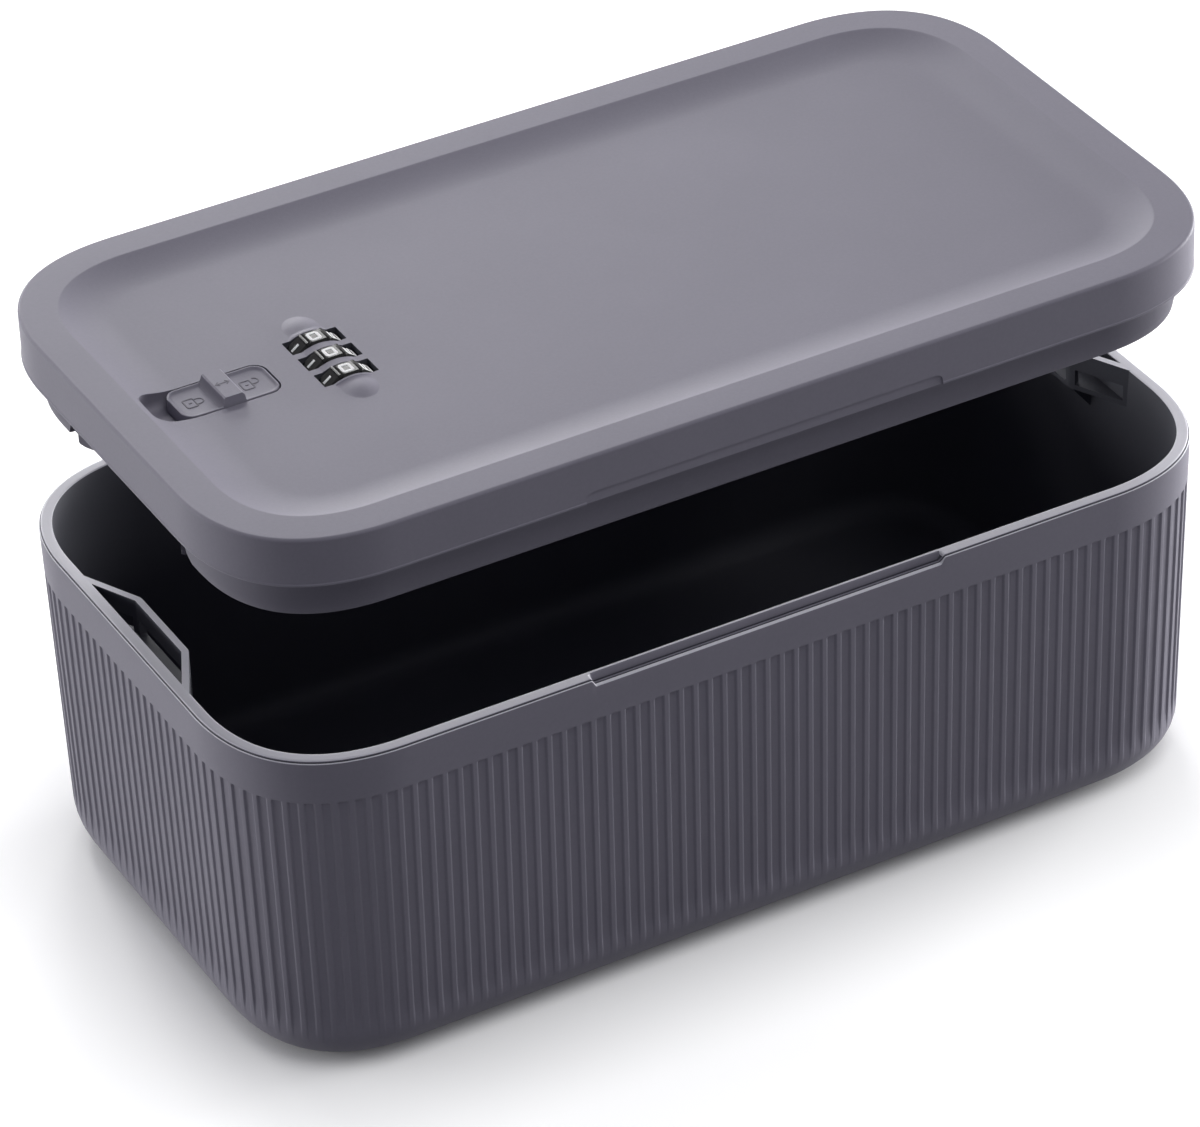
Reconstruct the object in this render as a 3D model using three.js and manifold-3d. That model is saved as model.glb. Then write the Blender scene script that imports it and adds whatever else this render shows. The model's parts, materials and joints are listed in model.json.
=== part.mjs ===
// Medication lock box: a ribbed tub and a lift-off lid that holds a three-dial combination lock.
// Millimetres, +Z up, X along the long side. The lid is shown lifted off and unlocked.

import * as THREE from 'three';
import { mergeVertices } from 'three/addons/utils/BufferGeometryUtils.js';
import Module from 'manifold-3d';

const wasm = await Module();
wasm.setup();

// Gaps between pieces
const fitGap = 0.3;
const slideGap = 0.4;

// How far joined forms run into each other, and how far a cutter runs past a face
const weld = 0.5;
const through = 1;

// Box outline, shared by the tub's lip and the lid's rim
const boxLength = 260;
const boxWidth = 143;
const cornerReach = 36;
const cornerHandle = 0.65;
const cornerLeast = 6;
const cornerSteps = 8;

// Tub
const tubHeight = 90;
const wallThickness = 3.1;
const wallTaper = 1.9;
const footRadius = 12;
const floorThickness = 3;
const insideFootRadius = 7;
const lipHeight = 1.6;
const lipStep = 0.35;
const bandHeight = 11.5;
const ribCount = 196;
const grooveWidth = 2;
const grooveDepth = 0.7;
const grooveFade = 3;
const grooveFoot = 9;
const grooveLift = 0.25;

// Pry notches in the lip and in the lid's lower edge
const notchLength = 93;
const tubNotchDepth = 1.9;
const tubNotchHeight = 3.2;
const lidNotchDepth = 1.5;
const lidNotchHeight = 2;

// Keepers that the two bolts enter, moulded on the tub's short walls
const keeperReach = 7.3;
const keeperBaseHalf = 27.7;
const keeperFaceHalf = 12.5;
const keeperWall = 2.3;
const keeperBand = 5;
const keeperWindow = 4.3;
const keeperShelf = 1.4;
const keeperPost = 1.8;
const gussetHeight = 10;
const gussetThickness = 1.4;
const gussetSpread = 11;

// Lid
const lidLift = 46.7;
const rimHeight = 12.4;
const rimEdgeRadius = 0.8;
const rimBorder = 9.3;
const coverThickness = 2.4;
const dishDepth = 2.6;
const dishWidth = 12;
const skirtInset = 4.2;
const skirtDepth = 10.7;
const skirtWall = 2;
const skirtDraft = 0.3;
const linerFloor = 1.5;
const linerFlange = 1.8;
const recessGap = 0.9;

// Slider that throws the bolts, and the tray it runs in
const slotMargin = 1.2;
const slotLength = 31.9;
const slotWidth = 13.5;
const slotCorner = 3.6;
const sliderThickness = 3.2;
const sliderProud = 0.3;
const sliderRim = 1.2;
const sliderSink = 0.8;
const trayFloor = 1.4;
const trayWall = 1.6;
const gripWidth = 4.6;
const gripHeight = 2.2;
const gripFlare = 1.6;
const gripEdge = 0.4;
const stemLength = 5;
const stemWidth = 6;

// Dials
const dialCount = 3;
const dialPitch = 8;
const dialOffset = 14.5;
const dialRadius = 9.2;
const dialWidth = 5.2;
const dialProud = 2.2;
const digitCount = 10;
const digitFaceDepth = 0.45;
const windowLength = 13.8;
const windowWidth = 5.8;
const archHeight = 1.4;
const archBand = 1.2;
const bumpLength = 8.4;
const bumpWidth = 6.6;
const hubRadius = 3.6;
const camRadius = 5;
const camFlat = 4.1;
const camThickness = 1.6;
const keyWidth = 1.6;
const keyHeight = 0.8;
const shaftRadius = 1.9;
const shaftHeadRadius = 3;
const shaftHeadLength = 1.2;
const shaftEnd = 0.8;
const neckDepth = 0.5;
const clipThickness = 1;
const clipReach = 1.2;
const clipMouth = 2.4;

// Reset tab beside the shaft's head
const resetTravel = 1;
const resetThickness = 1.6;
const resetWidth = 6;
const resetFootWidth = 10;
const resetFootDepth = 3;
const resetFootHeight = 1.2;

// Bolts and the pinion that sends them opposite ways
const boltTravel = 6.4;
const boltHalf = 7;
const boltThickness = 3.2;
const barThickness = 2;
const combTooth = 0.8;
const combToothWidth = 1.2;
const combBase = 2.4;
const tipLength = 7.5;
const headSink = 0.1;
const rackModule = 1.25;
const pinionTeeth = 10;
const pressureAngle = 25;
const toothReach = 0.8;
const backlash = 0.35;
const pinionOffset = 27.1;
const pinionThickness = 3;
const rackBarWidth = 4.5;
const rackReach = 10;
const rackBack = 6;
const pivotRadius = 2.2;
const guideLength = 6;
const guideWall = 1.2;
const guideHeight = 2.6;

// Housing that carries the dial shaft
const cheekThickness = 2.2;
const cheekRoom = 2.2;
const cheekDrop = 8.8;
const wallLift = 2;
const earRadius = 3;
const earSpread = 16;
const earGap = 0.6;
const earThickness = 2;
const earTop = 4;
const housingReach = 11;
const springRoom = 3;

// Springs
const leafThickness = 0.5;
const fingerWidth = 2;
const fingerDrop = 4.5;
const fingerRise = 3;
const fingerFoot = 2;
const clickOffset = 15.9;
const clickSpan = 10;
const clickBase = 4;
const clickReach = 3.5;
const clickNotch = 1.2;
const postThickness = 1.4;
const postHeight = 5.7;
const resetWire = 0.7;
const resetTurns = 3;

// Screws
const screwRadius = 1.2;
const screwHeadRadius = 2.6;
const screwHeadHeight = 1.6;
const screwLength = 14;
const screwEndInset = 25;
const screwSideInset = 19;
const middleScrewShare = 0.343;
const bossRadius = 3.8;
const smallScrewRadius = 0.9;
const smallHeadRadius = 2;
const smallHeadHeight = 1.2;
const housingScrewLength = 5;
const sliderScrewLength = 6;
const pinionScrewLength = 3;
const pinionHeadReach = 1.4;
const pilotRoom = 0.7;

// Places worked out from the sizes above. The lid's own frame has its rim's lower edge at z = 0.
const panelTop = rimHeight - dishDepth;
const panelUnder = panelTop - coverThickness;
const slotLeft = rimBorder + slotMargin - boxLength / 2;
const slotRight = slotLeft + slotLength;
const dialX = slotRight + dialOffset;
const pinionX = dialX + pinionOffset;
const dialZ = panelTop + dialProud - dialRadius;
const floorTop = linerFloor - skirtDepth;
const barLow = floorTop + fitGap;
const barHigh = barLow + barThickness;
const boltHigh = barLow + boltThickness;
const sliderLow = panelTop - sliderThickness;
const trayTop = sliderLow - fitGap;
const trayLow = trayTop - trayFloor;
const sliderLength = slotLength - 2 * slideGap - boltTravel;
const sliderRight = slotRight - slideGap;
const sliderX = sliderRight - sliderLength / 2;
const wallInside = boxLength / 2 - wallThickness;
const keeperFace = wallInside - keeperReach;
const recessFace = keeperFace - recessGap;
const boltTip = recessFace - fitGap;
const pinionRadius = rackModule * pinionTeeth / 2;
const rackPitch = Math.PI * rackModule;
const toothHeight = toothReach * rackModule;
const rackRoot = pinionRadius + toothHeight + fitGap;
const camOffset = -dialPitch / 2;
const clickX = dialX - clickOffset;
const clickBack = boltHalf + clickReach;
const dialsHalf = dialCount * dialPitch / 2;
const cheekInside = dialsHalf + cheekRoom;
const cheekOutside = cheekInside + cheekThickness;
const cheekFoot = dialZ - cheekDrop;
const housingLeft = dialX - housingReach;
const housingRight = dialX + housingReach + springRoom;
const resetLow = cheekOutside + fitGap + resetTravel + shaftHeadLength + fitGap;
const dialPlaces = Array.from({ length: dialCount }, (_, i) => ((dialCount - 1) / 2 - i) * dialPitch);

const pivotHigh = barLow + pinionThickness + fitGap;
const pivotHoleDepth = pinionScrewLength + fitGap;
const lidScrewEnd = screwHeadHeight + screwLength - skirtDepth;
const housingScrewEnd = earTop - earThickness - fitGap + housingScrewLength;

const plastic = (color, roughness) => new THREE.MeshStandardMaterial({ color, roughness, metalness: 0 });
const metal = (color, roughness) => new THREE.MeshStandardMaterial({ color, roughness, metalness: 1 });
const shellPlastic = plastic(0x6b6973, 0.55);
const innerPlastic = plastic(0x3a3a44, 0.6);
const dialPlastic = plastic(0x141416, 0.25);
const lockPlastic = plastic(0x8a8a90, 0.5);
const steel = metal(0xb8babd, 0.3);

// Solid helpers

function toSolid(geometry) {
  const bare = geometry.clone();
  bare.deleteAttribute('normal');
  bare.deleteAttribute('uv');
  const merged = mergeVertices(bare, 1e-4);
  return new wasm.Manifold(new wasm.Mesh({
    numProp: 3,
    vertProperties: new Float32Array(merged.attributes.position.array),
    triVerts: new Uint32Array(merged.index.array),
  }));
}

function toGeometry(solid) {
  const mesh = solid.getMesh();
  const geometry = new THREE.BufferGeometry();
  geometry.setAttribute('position', new THREE.BufferAttribute(mesh.vertProperties, 3));
  geometry.setIndex(new THREE.BufferAttribute(mesh.triVerts, 1));
  geometry.computeVertexNormals();
  return geometry;
}

const join = (first, ...rest) => rest.reduce((whole, piece) => whole.add(piece), first);
const cut = (first, ...rest) => rest.reduce((whole, piece) => whole.subtract(piece), first);

// A box given by its lowest and highest corners
function block([x0, y0, z0], [x1, y1, z1]) {
  const geometry = new THREE.BoxGeometry(x1 - x0, y1 - y0, z1 - z0);
  geometry.translate((x0 + x1) / 2, (y0 + y1) / 2, (z0 + z1) / 2);
  return toSolid(geometry);
}

// A round bar along Y or Z from one end to the other
function rod(axis, radius, [x, y, z], length, sides = 16) {
  const geometry = new THREE.CylinderGeometry(radius, radius, length, sides);
  geometry.translate(0, length / 2, 0);
  if (axis === 'z') geometry.rotateX(Math.PI / 2);
  geometry.translate(x, y, z);
  return toSolid(geometry);
}

// A flat outline in X and Y raised from z0 to z1
function prism(points, z0, z1) {
  const shape = points instanceof THREE.Shape ? points : new THREE.Shape(points);
  const geometry = new THREE.ExtrudeGeometry(shape, { depth: z1 - z0, bevelEnabled: false, curveSegments: 5 });
  geometry.translate(0, 0, z0);
  return toSolid(geometry);
}

// An outline drawn in X and Z, carried along Y from y0 to y1
function crossPrism(points, y0, y1) {
  const shape = new THREE.Shape(points);
  const geometry = new THREE.ExtrudeGeometry(shape, { depth: y1 - y0, bevelEnabled: false });
  geometry.rotateX(Math.PI / 2);
  geometry.translate(0, y1, 0);
  return toSolid(geometry);
}

const mirrorX = (points) => points.map((p) => new THREE.Vector2(-p.x, p.y)).reverse();
const corner2 = (x, y) => new THREE.Vector2(x, y);

function roundedShape(x0, y0, x1, y1, r) {
  const shape = new THREE.Shape();
  shape.moveTo(x0 + r, y0);
  shape.lineTo(x1 - r, y0);
  shape.absarc(x1 - r, y0 + r, r, -Math.PI / 2, 0);
  shape.lineTo(x1, y1 - r);
  shape.absarc(x1 - r, y1 - r, r, 0, Math.PI / 2);
  shape.lineTo(x0 + r, y1);
  shape.absarc(x0 + r, y1 - r, r, Math.PI / 2, Math.PI);
  shape.lineTo(x0, y0 + r);
  shape.absarc(x0 + r, y0 + r, r, Math.PI, Math.PI * 1.5);
  return shape;
}

// Outline of the box: straight sides joined by soft corners, drawn in by an inset
function boxOutline(inset) {
  const a = boxLength / 2 - inset;
  const b = boxWidth / 2 - inset;
  const reach = Math.max(cornerReach - inset, cornerLeast);
  const handle = reach * (1 - cornerHandle);
  const outline = new THREE.Shape();
  outline.moveTo(a, -b + reach);
  outline.lineTo(a, b - reach);
  outline.bezierCurveTo(a, b - handle, a - handle, b, a - reach, b);
  outline.lineTo(-a + reach, b);
  outline.bezierCurveTo(-a + handle, b, -a, b - handle, -a, b - reach);
  outline.lineTo(-a, -b + reach);
  outline.bezierCurveTo(-a, -b + handle, -a + handle, -b, -a + reach, -b);
  outline.lineTo(a - reach, -b);
  outline.bezierCurveTo(a - handle, -b, a, -b + handle, a, -b + reach);
  return outline;
}

// Skin through rings of the box outline, each with its own inset and height, closed at both ends
function boxLoft(rings) {
  const points = [];
  const triangles = [];
  const count = boxOutline(0).getPoints(cornerSteps).length - 1;
  for (const [inset, z] of rings) {
    for (const p of boxOutline(inset).getPoints(cornerSteps).slice(0, count)) points.push(p.x, p.y, z);
  }
  const last = rings.length - 1;
  points.push(0, 0, rings[0][1], 0, 0, rings[last][1]);
  const lowCentre = rings.length * count;
  for (let i = 0; i < count; i++) {
    const j = (i + 1) % count;
    for (let k = 0; k < last; k++) {
      const low = k * count;
      const high = low + count;
      triangles.push(low + i, low + j, high + j, low + i, high + j, high + i);
    }
    triangles.push(lowCentre, j, i, lowCentre + 1, last * count + i, last * count + j);
  }
  const geometry = new THREE.BufferGeometry();
  geometry.setAttribute('position', new THREE.Float32BufferAttribute(points, 3));
  geometry.setIndex(triangles);
  return toSolid(geometry);
}

// Quarter-round rings from a flat end up into a wall
function footRings(radius, inset, z, steps = 4) {
  return Array.from({ length: steps + 1 }, (_, i) => {
    const angle = (i / steps) * Math.PI / 2;
    return [inset + radius * (1 - Math.sin(angle)), z + radius * (1 - Math.cos(angle))];
  });
}

// Tub

const wallInset = (z) => lipStep + (wallTaper - lipStep) * (1 - z / tubHeight);

// One groove between two ribs: a V that runs out at both ends
function ribGroove(point, normal) {
  const tangent = new THREE.Vector2(-normal.y, normal.x);
  const high = tubHeight - bandHeight;
  const vertex = (along, out, z) => {
    const inward = wallInset(z) - out;
    const x = point.x + tangent.x * along - normal.x * inward;
    const y = point.y + tangent.y * along - normal.y * inward;
    return [x, y, z];
  };
  const half = grooveWidth / 2;
  const corners = [
    vertex(-half, grooveLift, grooveFoot), vertex(half, grooveLift, grooveFoot),
    vertex(-half, grooveLift, high), vertex(half, grooveLift, high),
    vertex(0, -grooveDepth, grooveFoot + grooveFade), vertex(0, -grooveDepth, high - grooveFade / 2),
  ];
  const faces = [0, 1, 2, 1, 3, 2, 0, 4, 1, 2, 3, 5, 0, 2, 5, 0, 5, 4, 1, 4, 5, 1, 5, 3];
  const geometry = new THREE.BufferGeometry();
  geometry.setAttribute('position', new THREE.Float32BufferAttribute(corners.flat(), 3));
  geometry.setIndex(faces);
  return toSolid(geometry);
}

function ribGrooves() {
  const outline = boxOutline(0);
  return Array.from({ length: ribCount }, (_, i) => {
    const at = (i + 0.5) / ribCount;
    const tangent = outline.getTangentAt(at);
    return ribGroove(outline.getPointAt(at), corner2(tangent.y, -tangent.x));
  });
}

// Plan of a keeper on the +X wall, grown outwards by a margin
function keeperPlan(grow, wallX = wallInside + through) {
  const slope = (keeperBaseHalf - keeperFaceHalf) / keeperReach;
  const face = keeperFace - grow;
  const half = keeperFaceHalf + grow * (Math.hypot(1, slope) - slope);
  const base = half + slope * (wallX - face);
  return [corner2(face, -half), corner2(wallX, -base), corner2(wallX, base), corner2(face, half)];
}

// Plan of the window in one slanted cheek, between the corner post and the wall
function cheekWindow(y) {
  const run = wallInside - keeperFace;
  const rise = keeperBaseHalf - keeperFaceHalf;
  const length = Math.hypot(run, rise);
  const at = (along, out) => corner2(
    keeperFace + (run * along - rise * out) / length,
    y * (keeperFaceHalf + (rise * along + run * out) / length),
  );
  const inner = -keeperWall - through;
  return [at(keeperPost, through), at(length - keeperPost, through),
    at(length - keeperPost, inner), at(keeperPost, inner)];
}

function keeper(side) {
  const turned = (plan) => (side > 0 ? plan : mirrorX(plan));
  const plan = (grow) => turned(keeperPlan(grow));
  const low = tubHeight - keeperBand - keeperWindow - keeperShelf;
  const windowTop = tubHeight - keeperBand;
  const windowHalf = keeperFaceHalf - keeperPost;
  const windowIn = side * (keeperFace - through);
  const windowOut = side * (keeperFace + keeperWall + through);
  const shell = cut(
    prism(plan(0), low, tubHeight),
    prism(plan(-keeperWall), low + keeperShelf, tubHeight + through),
    block(
      [Math.min(windowIn, windowOut), -windowHalf, low + keeperShelf],
      [Math.max(windowIn, windowOut), windowHalf, windowTop],
    ),
    ...[-1, 1].map((y) => prism(turned(cheekWindow(y)), low + keeperShelf, windowTop)),
  );
  const gussets = [-gussetSpread, gussetSpread].map((y) => crossPrism([
    corner2(side * keeperFace, low + weld),
    corner2(side * (wallInside + through), low + weld),
    corner2(side * (wallInside + through), low - gussetHeight),
  ], y - gussetThickness / 2, y + gussetThickness / 2));
  return join(shell, ...gussets);
}

// Blocks that cut the pry notches into an outer edge, front and back
function pryNotches(low, high, depth) {
  const half = notchLength / 2;
  return [-1, 1].map((side) => {
    const y0 = side * (boxWidth / 2 - depth);
    const y1 = side * (boxWidth / 2 + through);
    return block([-half, Math.min(y0, y1), low], [half, Math.max(y0, y1), high]);
  });
}

function tub() {
  const outer = boxLoft([
    ...footRings(footRadius, wallInset(footRadius), 0),
    [wallInset(tubHeight - lipHeight), tubHeight - lipHeight],
    [0, tubHeight - lipHeight + lipStep],
    [0, tubHeight],
  ]);
  const inner = boxLoft([
    ...footRings(insideFootRadius, wallThickness + wallTaper, floorThickness, 3),
    [wallThickness, tubHeight],
    [wallThickness, tubHeight + through],
  ]);
  const shell = cut(outer, inner, ...ribGrooves());
  const keepers = [-1, 1].map((side) => keeper(side).intersect(boxLoft([[1, 0], [1, tubHeight]])));
  const notches = pryNotches(tubHeight - tubNotchHeight, tubHeight + through, tubNotchDepth);
  return cut(join(shell, ...keepers), ...notches);
}

// Lid cover

// Height of the lid's top face at a distance in from the rim
function lidTop(inset) {
  const share = THREE.MathUtils.clamp((inset - rimBorder) / dishWidth, 0, 1);
  return rimHeight - dishDepth * (1 - (1 - share) ** 2);
}

const dishInsets = [0, 0.15, 0.35, 0.6, 1].map((share) => rimBorder + dishWidth * share);
const screwEnd = boxLength / 2 - screwEndInset;
const screwSide = boxWidth / 2 - screwSideInset;
const earSide = cheekOutside + earRadius + earGap;
const earLow = earTop - earThickness;
const bothSides = (places, side) => places.flatMap((x) => [[x, -side], [x, side]]);
const screwMiddle = screwEnd * middleScrewShare;
const lidScrewPlaces = bothSides([-screwEnd, -screwMiddle, screwMiddle, screwEnd], screwSide);
const earPlaces = bothSides([dialX - earSpread / 2, dialX + earSpread / 2], earSide);

// Ridge between the dial windows and at the row's ends, following the dials' curve
function dialArches() {
  const ridgeRadius = dialRadius - (dialProud - archHeight);
  const half = dialsHalf + archBand;
  const ridge = rod('y', ridgeRadius, [dialX, -half, dialZ], 2 * half, 32);
  const above = block(
    [dialX - ridgeRadius, -half, panelTop - weld],
    [dialX + ridgeRadius, half, panelTop + ridgeRadius],
  );
  const bumps = [-half, half].map((y) => {
    const ball = new THREE.SphereGeometry(1, 16, 10);
    ball.rotateX(Math.PI / 2);
    ball.scale(bumpLength / 2, bumpWidth / 2, archHeight);
    ball.translate(dialX, y, panelTop);
    return toSolid(ball);
  });
  return join(ridge.intersect(above), ...bumps);
}

function lidCover() {
  const edge = footRings(rimEdgeRadius, 0, 0, 3).map(([inset, z]) => [inset, rimHeight - z]).reverse();
  const outer = boxLoft([
    [0, 0],
    ...edge,
    ...dishInsets.map((inset) => [inset, lidTop(inset)]),
  ]);
  const hollow = boxLoft([
    [coverThickness, -through],
    [coverThickness, rimHeight - coverThickness],
    ...dishInsets.map((inset) => [inset, lidTop(inset) - coverThickness]),
  ]);
  const slotShape = (grow) => roundedShape(
    slotLeft - grow, -slotWidth / 2 - grow, slotRight + grow, slotWidth / 2 + grow, slotCorner + grow,
  );
  const tray = prism(slotShape(trayWall), trayLow, panelTop - weld);
  const slot = prism(slotShape(0), trayTop, rimHeight + through);
  const stemWay = block(
    [sliderX - stemLength / 2 - slideGap - boltTravel, -stemWidth / 2 - slideGap, trayLow - through],
    [sliderX + stemLength / 2 + slideGap, stemWidth / 2 + slideGap, trayTop + through],
  );
  const windows = dialPlaces.map((y) => block(
    [dialX - windowLength / 2, y - windowWidth / 2, dialZ],
    [dialX + windowLength / 2, y + windowWidth / 2, dialZ + 2 * dialRadius],
  ));
  const dialWays = dialPlaces.map((y) => rod(
    'y', dialRadius + slideGap, [dialX, y - windowWidth / 2, dialZ], windowWidth, 40,
  ));
  const camWay = rod('y', camRadius + slideGap, [dialX, -dialsHalf - cheekRoom, dialZ], 2 * dialsHalf, 24);
  const boss = ([x, y], radius, low) => rod('z', radius, [x, y, low], panelTop - weld - low);
  const bosses = lidScrewPlaces.map((place) => boss(place, bossRadius, fitGap));
  const earBosses = earPlaces.map((place) => boss(place, earRadius, earTop + fitGap));
  const pilot = ([x, y], radius, low, high) => rod('z', radius + fitGap, [x, y, low], high - low, 14);
  const pilots = lidScrewPlaces.map((place) => pilot(place, screwRadius, -through, lidScrewEnd + pilotRoom));
  const earPilots = earPlaces.map((place) => pilot(place, smallScrewRadius, earLow, housingScrewEnd + pilotRoom));
  const shell = join(cut(outer, hollow), tray, dialArches(), ...bosses, ...earBosses);
  return cut(
    shell, slot, stemWay, ...windows, ...dialWays, camWay, ...pilots, ...earPilots,
    ...pryNotches(-through, lidNotchHeight, lidNotchDepth),
  );
}

// Lid liner: the skirt that drops inside the tub, its floor, and the guides for the bolts

function recessPlan(side, grow) {
  const plan = keeperPlan(recessGap + grow, boxLength / 2);
  return side > 0 ? plan : mirrorX(plan);
}

function barGuides() {
  const low = rackRoot - slideGap - guideWall;
  const high = rackRoot + rackBarWidth + slideGap;
  const places = [0.2, 0.45, 0.7].map((share) => THREE.MathUtils.lerp(pinionX, boltTip, share));
  return places.flatMap((x) => [low, high].map((y) => block(
    [x - guideLength / 2, y, floorTop - weld],
    [x + guideLength / 2, y + guideWall, floorTop + guideHeight],
  )));
}

function lidLiner() {
  const flangeHigh = fitGap + linerFlange;
  const flangeInset = coverThickness + fitGap;
  const outer = boxLoft([
    [skirtInset + skirtDraft, -skirtDepth],
    [skirtInset, through - skirtDepth],
    [skirtInset, flangeHigh],
  ]);
  const flange = boxLoft([[flangeInset, fitGap], [flangeInset, flangeHigh]]);
  const inner = boxLoft([[skirtInset + skirtWall, floorTop], [skirtInset + skirtWall, flangeHigh + through]]);
  const below = -skirtDepth - through;
  const recesses = [-1, 1].map((side) => prism(recessPlan(side, 0), below, fitGap));
  const recessWalls = [-1, 1].map((side) => (
    prism(recessPlan(side, skirtWall), -skirtDepth, flangeHigh).intersect(outer)
  ));
  const basin = cut(join(outer, flange), inner);
  const bolts = [-1, 1].map((side) => {
    const x0 = side * (recessFace - skirtWall - through);
    const x1 = side * (recessFace + through);
    return block(
      [Math.min(x0, x1), -boltHalf - slideGap, floorTop],
      [Math.max(x0, x1), boltHalf + slideGap, boltHigh + slideGap],
    );
  });
  const bosses = lidScrewPlaces.map(([x, y]) => rod('z', bossRadius, [x, y, -skirtDepth], skirtDepth));
  const screwWays = lidScrewPlaces.flatMap(([x, y]) => [
    rod('z', screwRadius + fitGap, [x, y, below], skirtDepth + 2 * through, 14),
    rod('z', screwHeadRadius + fitGap, [x, y, below], through + screwHeadHeight + fitGap),
  ]);
  const pivot = rod('z', pivotRadius, [pinionX, 0, floorTop - weld], weld + pivotHigh - floorTop);
  const holeLow = pivotHigh - pivotHoleDepth;
  const pivotHole = rod('z', smallScrewRadius + fitGap, [pinionX, 0, holeLow], pivotHoleDepth + through, 12);
  const resetSlot = block(
    [dialX - resetWidth / 2 - slideGap, resetLow - resetTravel - fitGap, below],
    [dialX + resetWidth / 2 + slideGap, resetLow + resetThickness + fitGap, 0],
  );
  const postSide = clickBack + leafThickness + fitGap;
  const clickPost = block(
    [clickX - clickSpan / 2, postSide, floorTop - weld],
    [clickX + clickSpan / 2, postSide + postThickness, floorTop + postHeight],
  );
  const body = cut(join(basin, ...recessWalls), ...recesses);
  return cut(join(body, ...bosses, pivot, clickPost, ...barGuides()), ...bolts, ...screwWays, pivotHole, resetSlot);
}

// Slider

function sliderButton() {
  const left = sliderRight - sliderLength;
  const half = slotWidth / 2 - slideGap;
  const top = panelTop + sliderProud;
  const plateShape = (inset) => roundedShape(
    left + inset, -half + inset, sliderRight - inset, half - inset, slotCorner - slideGap - inset,
  );
  const plate = prism(plateShape(0), sliderLow, top);
  const sunk = prism(plateShape(sliderRim), top - sliderSink, top + through);
  const gripTop = panelTop + gripHeight;
  const gripHalf = gripWidth / 2;
  const grip = crossPrism([
    corner2(sliderX - gripHalf - gripFlare, top - sliderSink - weld),
    corner2(sliderX + gripHalf + gripFlare / 2, top - sliderSink - weld),
    corner2(sliderX + gripHalf, gripTop - gripEdge),
    corner2(sliderX + gripHalf - gripEdge, gripTop),
    corner2(sliderX - gripHalf + gripEdge, gripTop),
    corner2(sliderX - gripHalf, gripTop - gripEdge),
    corner2(sliderX - gripHalf - gripEdge, panelTop + gripEdge),
  ], -half, half);
  const stem = block(
    [sliderX - stemLength / 2, -stemWidth / 2, barHigh + fitGap],
    [sliderX + stemLength / 2, stemWidth / 2, sliderLow + weld],
  );
  const holeHigh = barLow + smallHeadHeight + sliderScrewLength + pilotRoom;
  const screwHole = rod('z', smallScrewRadius + fitGap, [sliderX, 0, barLow], holeHigh - barLow, 12);
  return cut(join(cut(plate, sunk), grip, stem), screwHole);
}

// Dials and the coded cams inside them

function dialOutline() {
  const points = [];
  const step = (2 * Math.PI) / digitCount;
  for (let i = 0; i < digitCount; i++) {
    const ridge = (i + 0.5) * step + Math.PI / 2;
    for (const [offset, drop] of [[-0.1, 0], [0.1, 0], [0.16, 1], [0.5, 0.8], [0.84, 1]]) {
      const angle = ridge + offset * step;
      const radius = dialRadius - drop * digitFaceDepth;
      points.push(corner2(radius * Math.cos(angle), radius * Math.sin(angle)));
    }
  }
  return points;
}

function numberDial(y) {
  const half = dialWidth / 2;
  const ring = crossPrism(dialOutline(), y - half, y + half);
  const bore = rod('y', hubRadius + fitGap, [0, y - dialWidth, 0], 2 * dialWidth);
  const keyWay = block(
    [-keyWidth / 2 - fitGap, y - dialWidth, 0],
    [keyWidth / 2 + fitGap, y + dialWidth, hubRadius + keyHeight + fitGap],
  );
  return cut(ring, bore, keyWay);
}

function codeCam(y) {
  const disc = rod('y', camRadius, [0, y + camOffset - camThickness / 2, 0], camThickness, 28);
  const hub = rod('y', hubRadius, [0, y + camOffset, 0], dialWidth / 2 - camOffset);
  const key = block([-keyWidth / 2, y + camOffset, 0], [keyWidth / 2, y + dialWidth / 2, hubRadius + keyHeight]);
  const flat = block(
    [-camRadius, y + camOffset - camThickness, -camRadius - through],
    [camRadius, y + camOffset + camThickness / 2, -camFlat],
  );
  const bore = rod('y', shaftRadius + fitGap, [0, y - dialPitch, 0], 2 * dialPitch);
  return cut(join(disc, hub, key), flat, bore);
}

function dialShaft() {
  const clipEnd = cheekOutside + 2 * fitGap + clipThickness;
  const end = clipEnd + shaftEnd;
  const headLow = cheekOutside + fitGap + resetTravel;
  const pin = rod('y', shaftRadius, [dialX, -end, dialZ], end + headLow);
  const head = rod('y', shaftHeadRadius, [dialX, headLow, dialZ], shaftHeadLength);
  const clipWay = rod('y', shaftRadius + through, [dialX, -clipEnd, dialZ], clipThickness + 2 * fitGap);
  const neck = rod('y', shaftRadius - neckDepth, [dialX, -end, dialZ], end);
  return join(cut(join(pin, head), clipWay), neck);
}

function shaftClip() {
  const low = -cheekOutside - fitGap - clipThickness;
  const radius = shaftRadius + clipReach;
  const ring = rod('y', radius, [dialX, low, dialZ], clipThickness, 18);
  const boreRadius = shaftRadius - neckDepth + fitGap;
  const bore = rod('y', boreRadius, [dialX, low - through, dialZ], clipThickness + 2 * through);
  const mouth = block(
    [dialX - clipMouth / 2, low - through, dialZ - 2 * radius],
    [dialX + clipMouth / 2, low + clipThickness + through, dialZ],
  );
  return cut(ring, bore, mouth);
}

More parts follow.
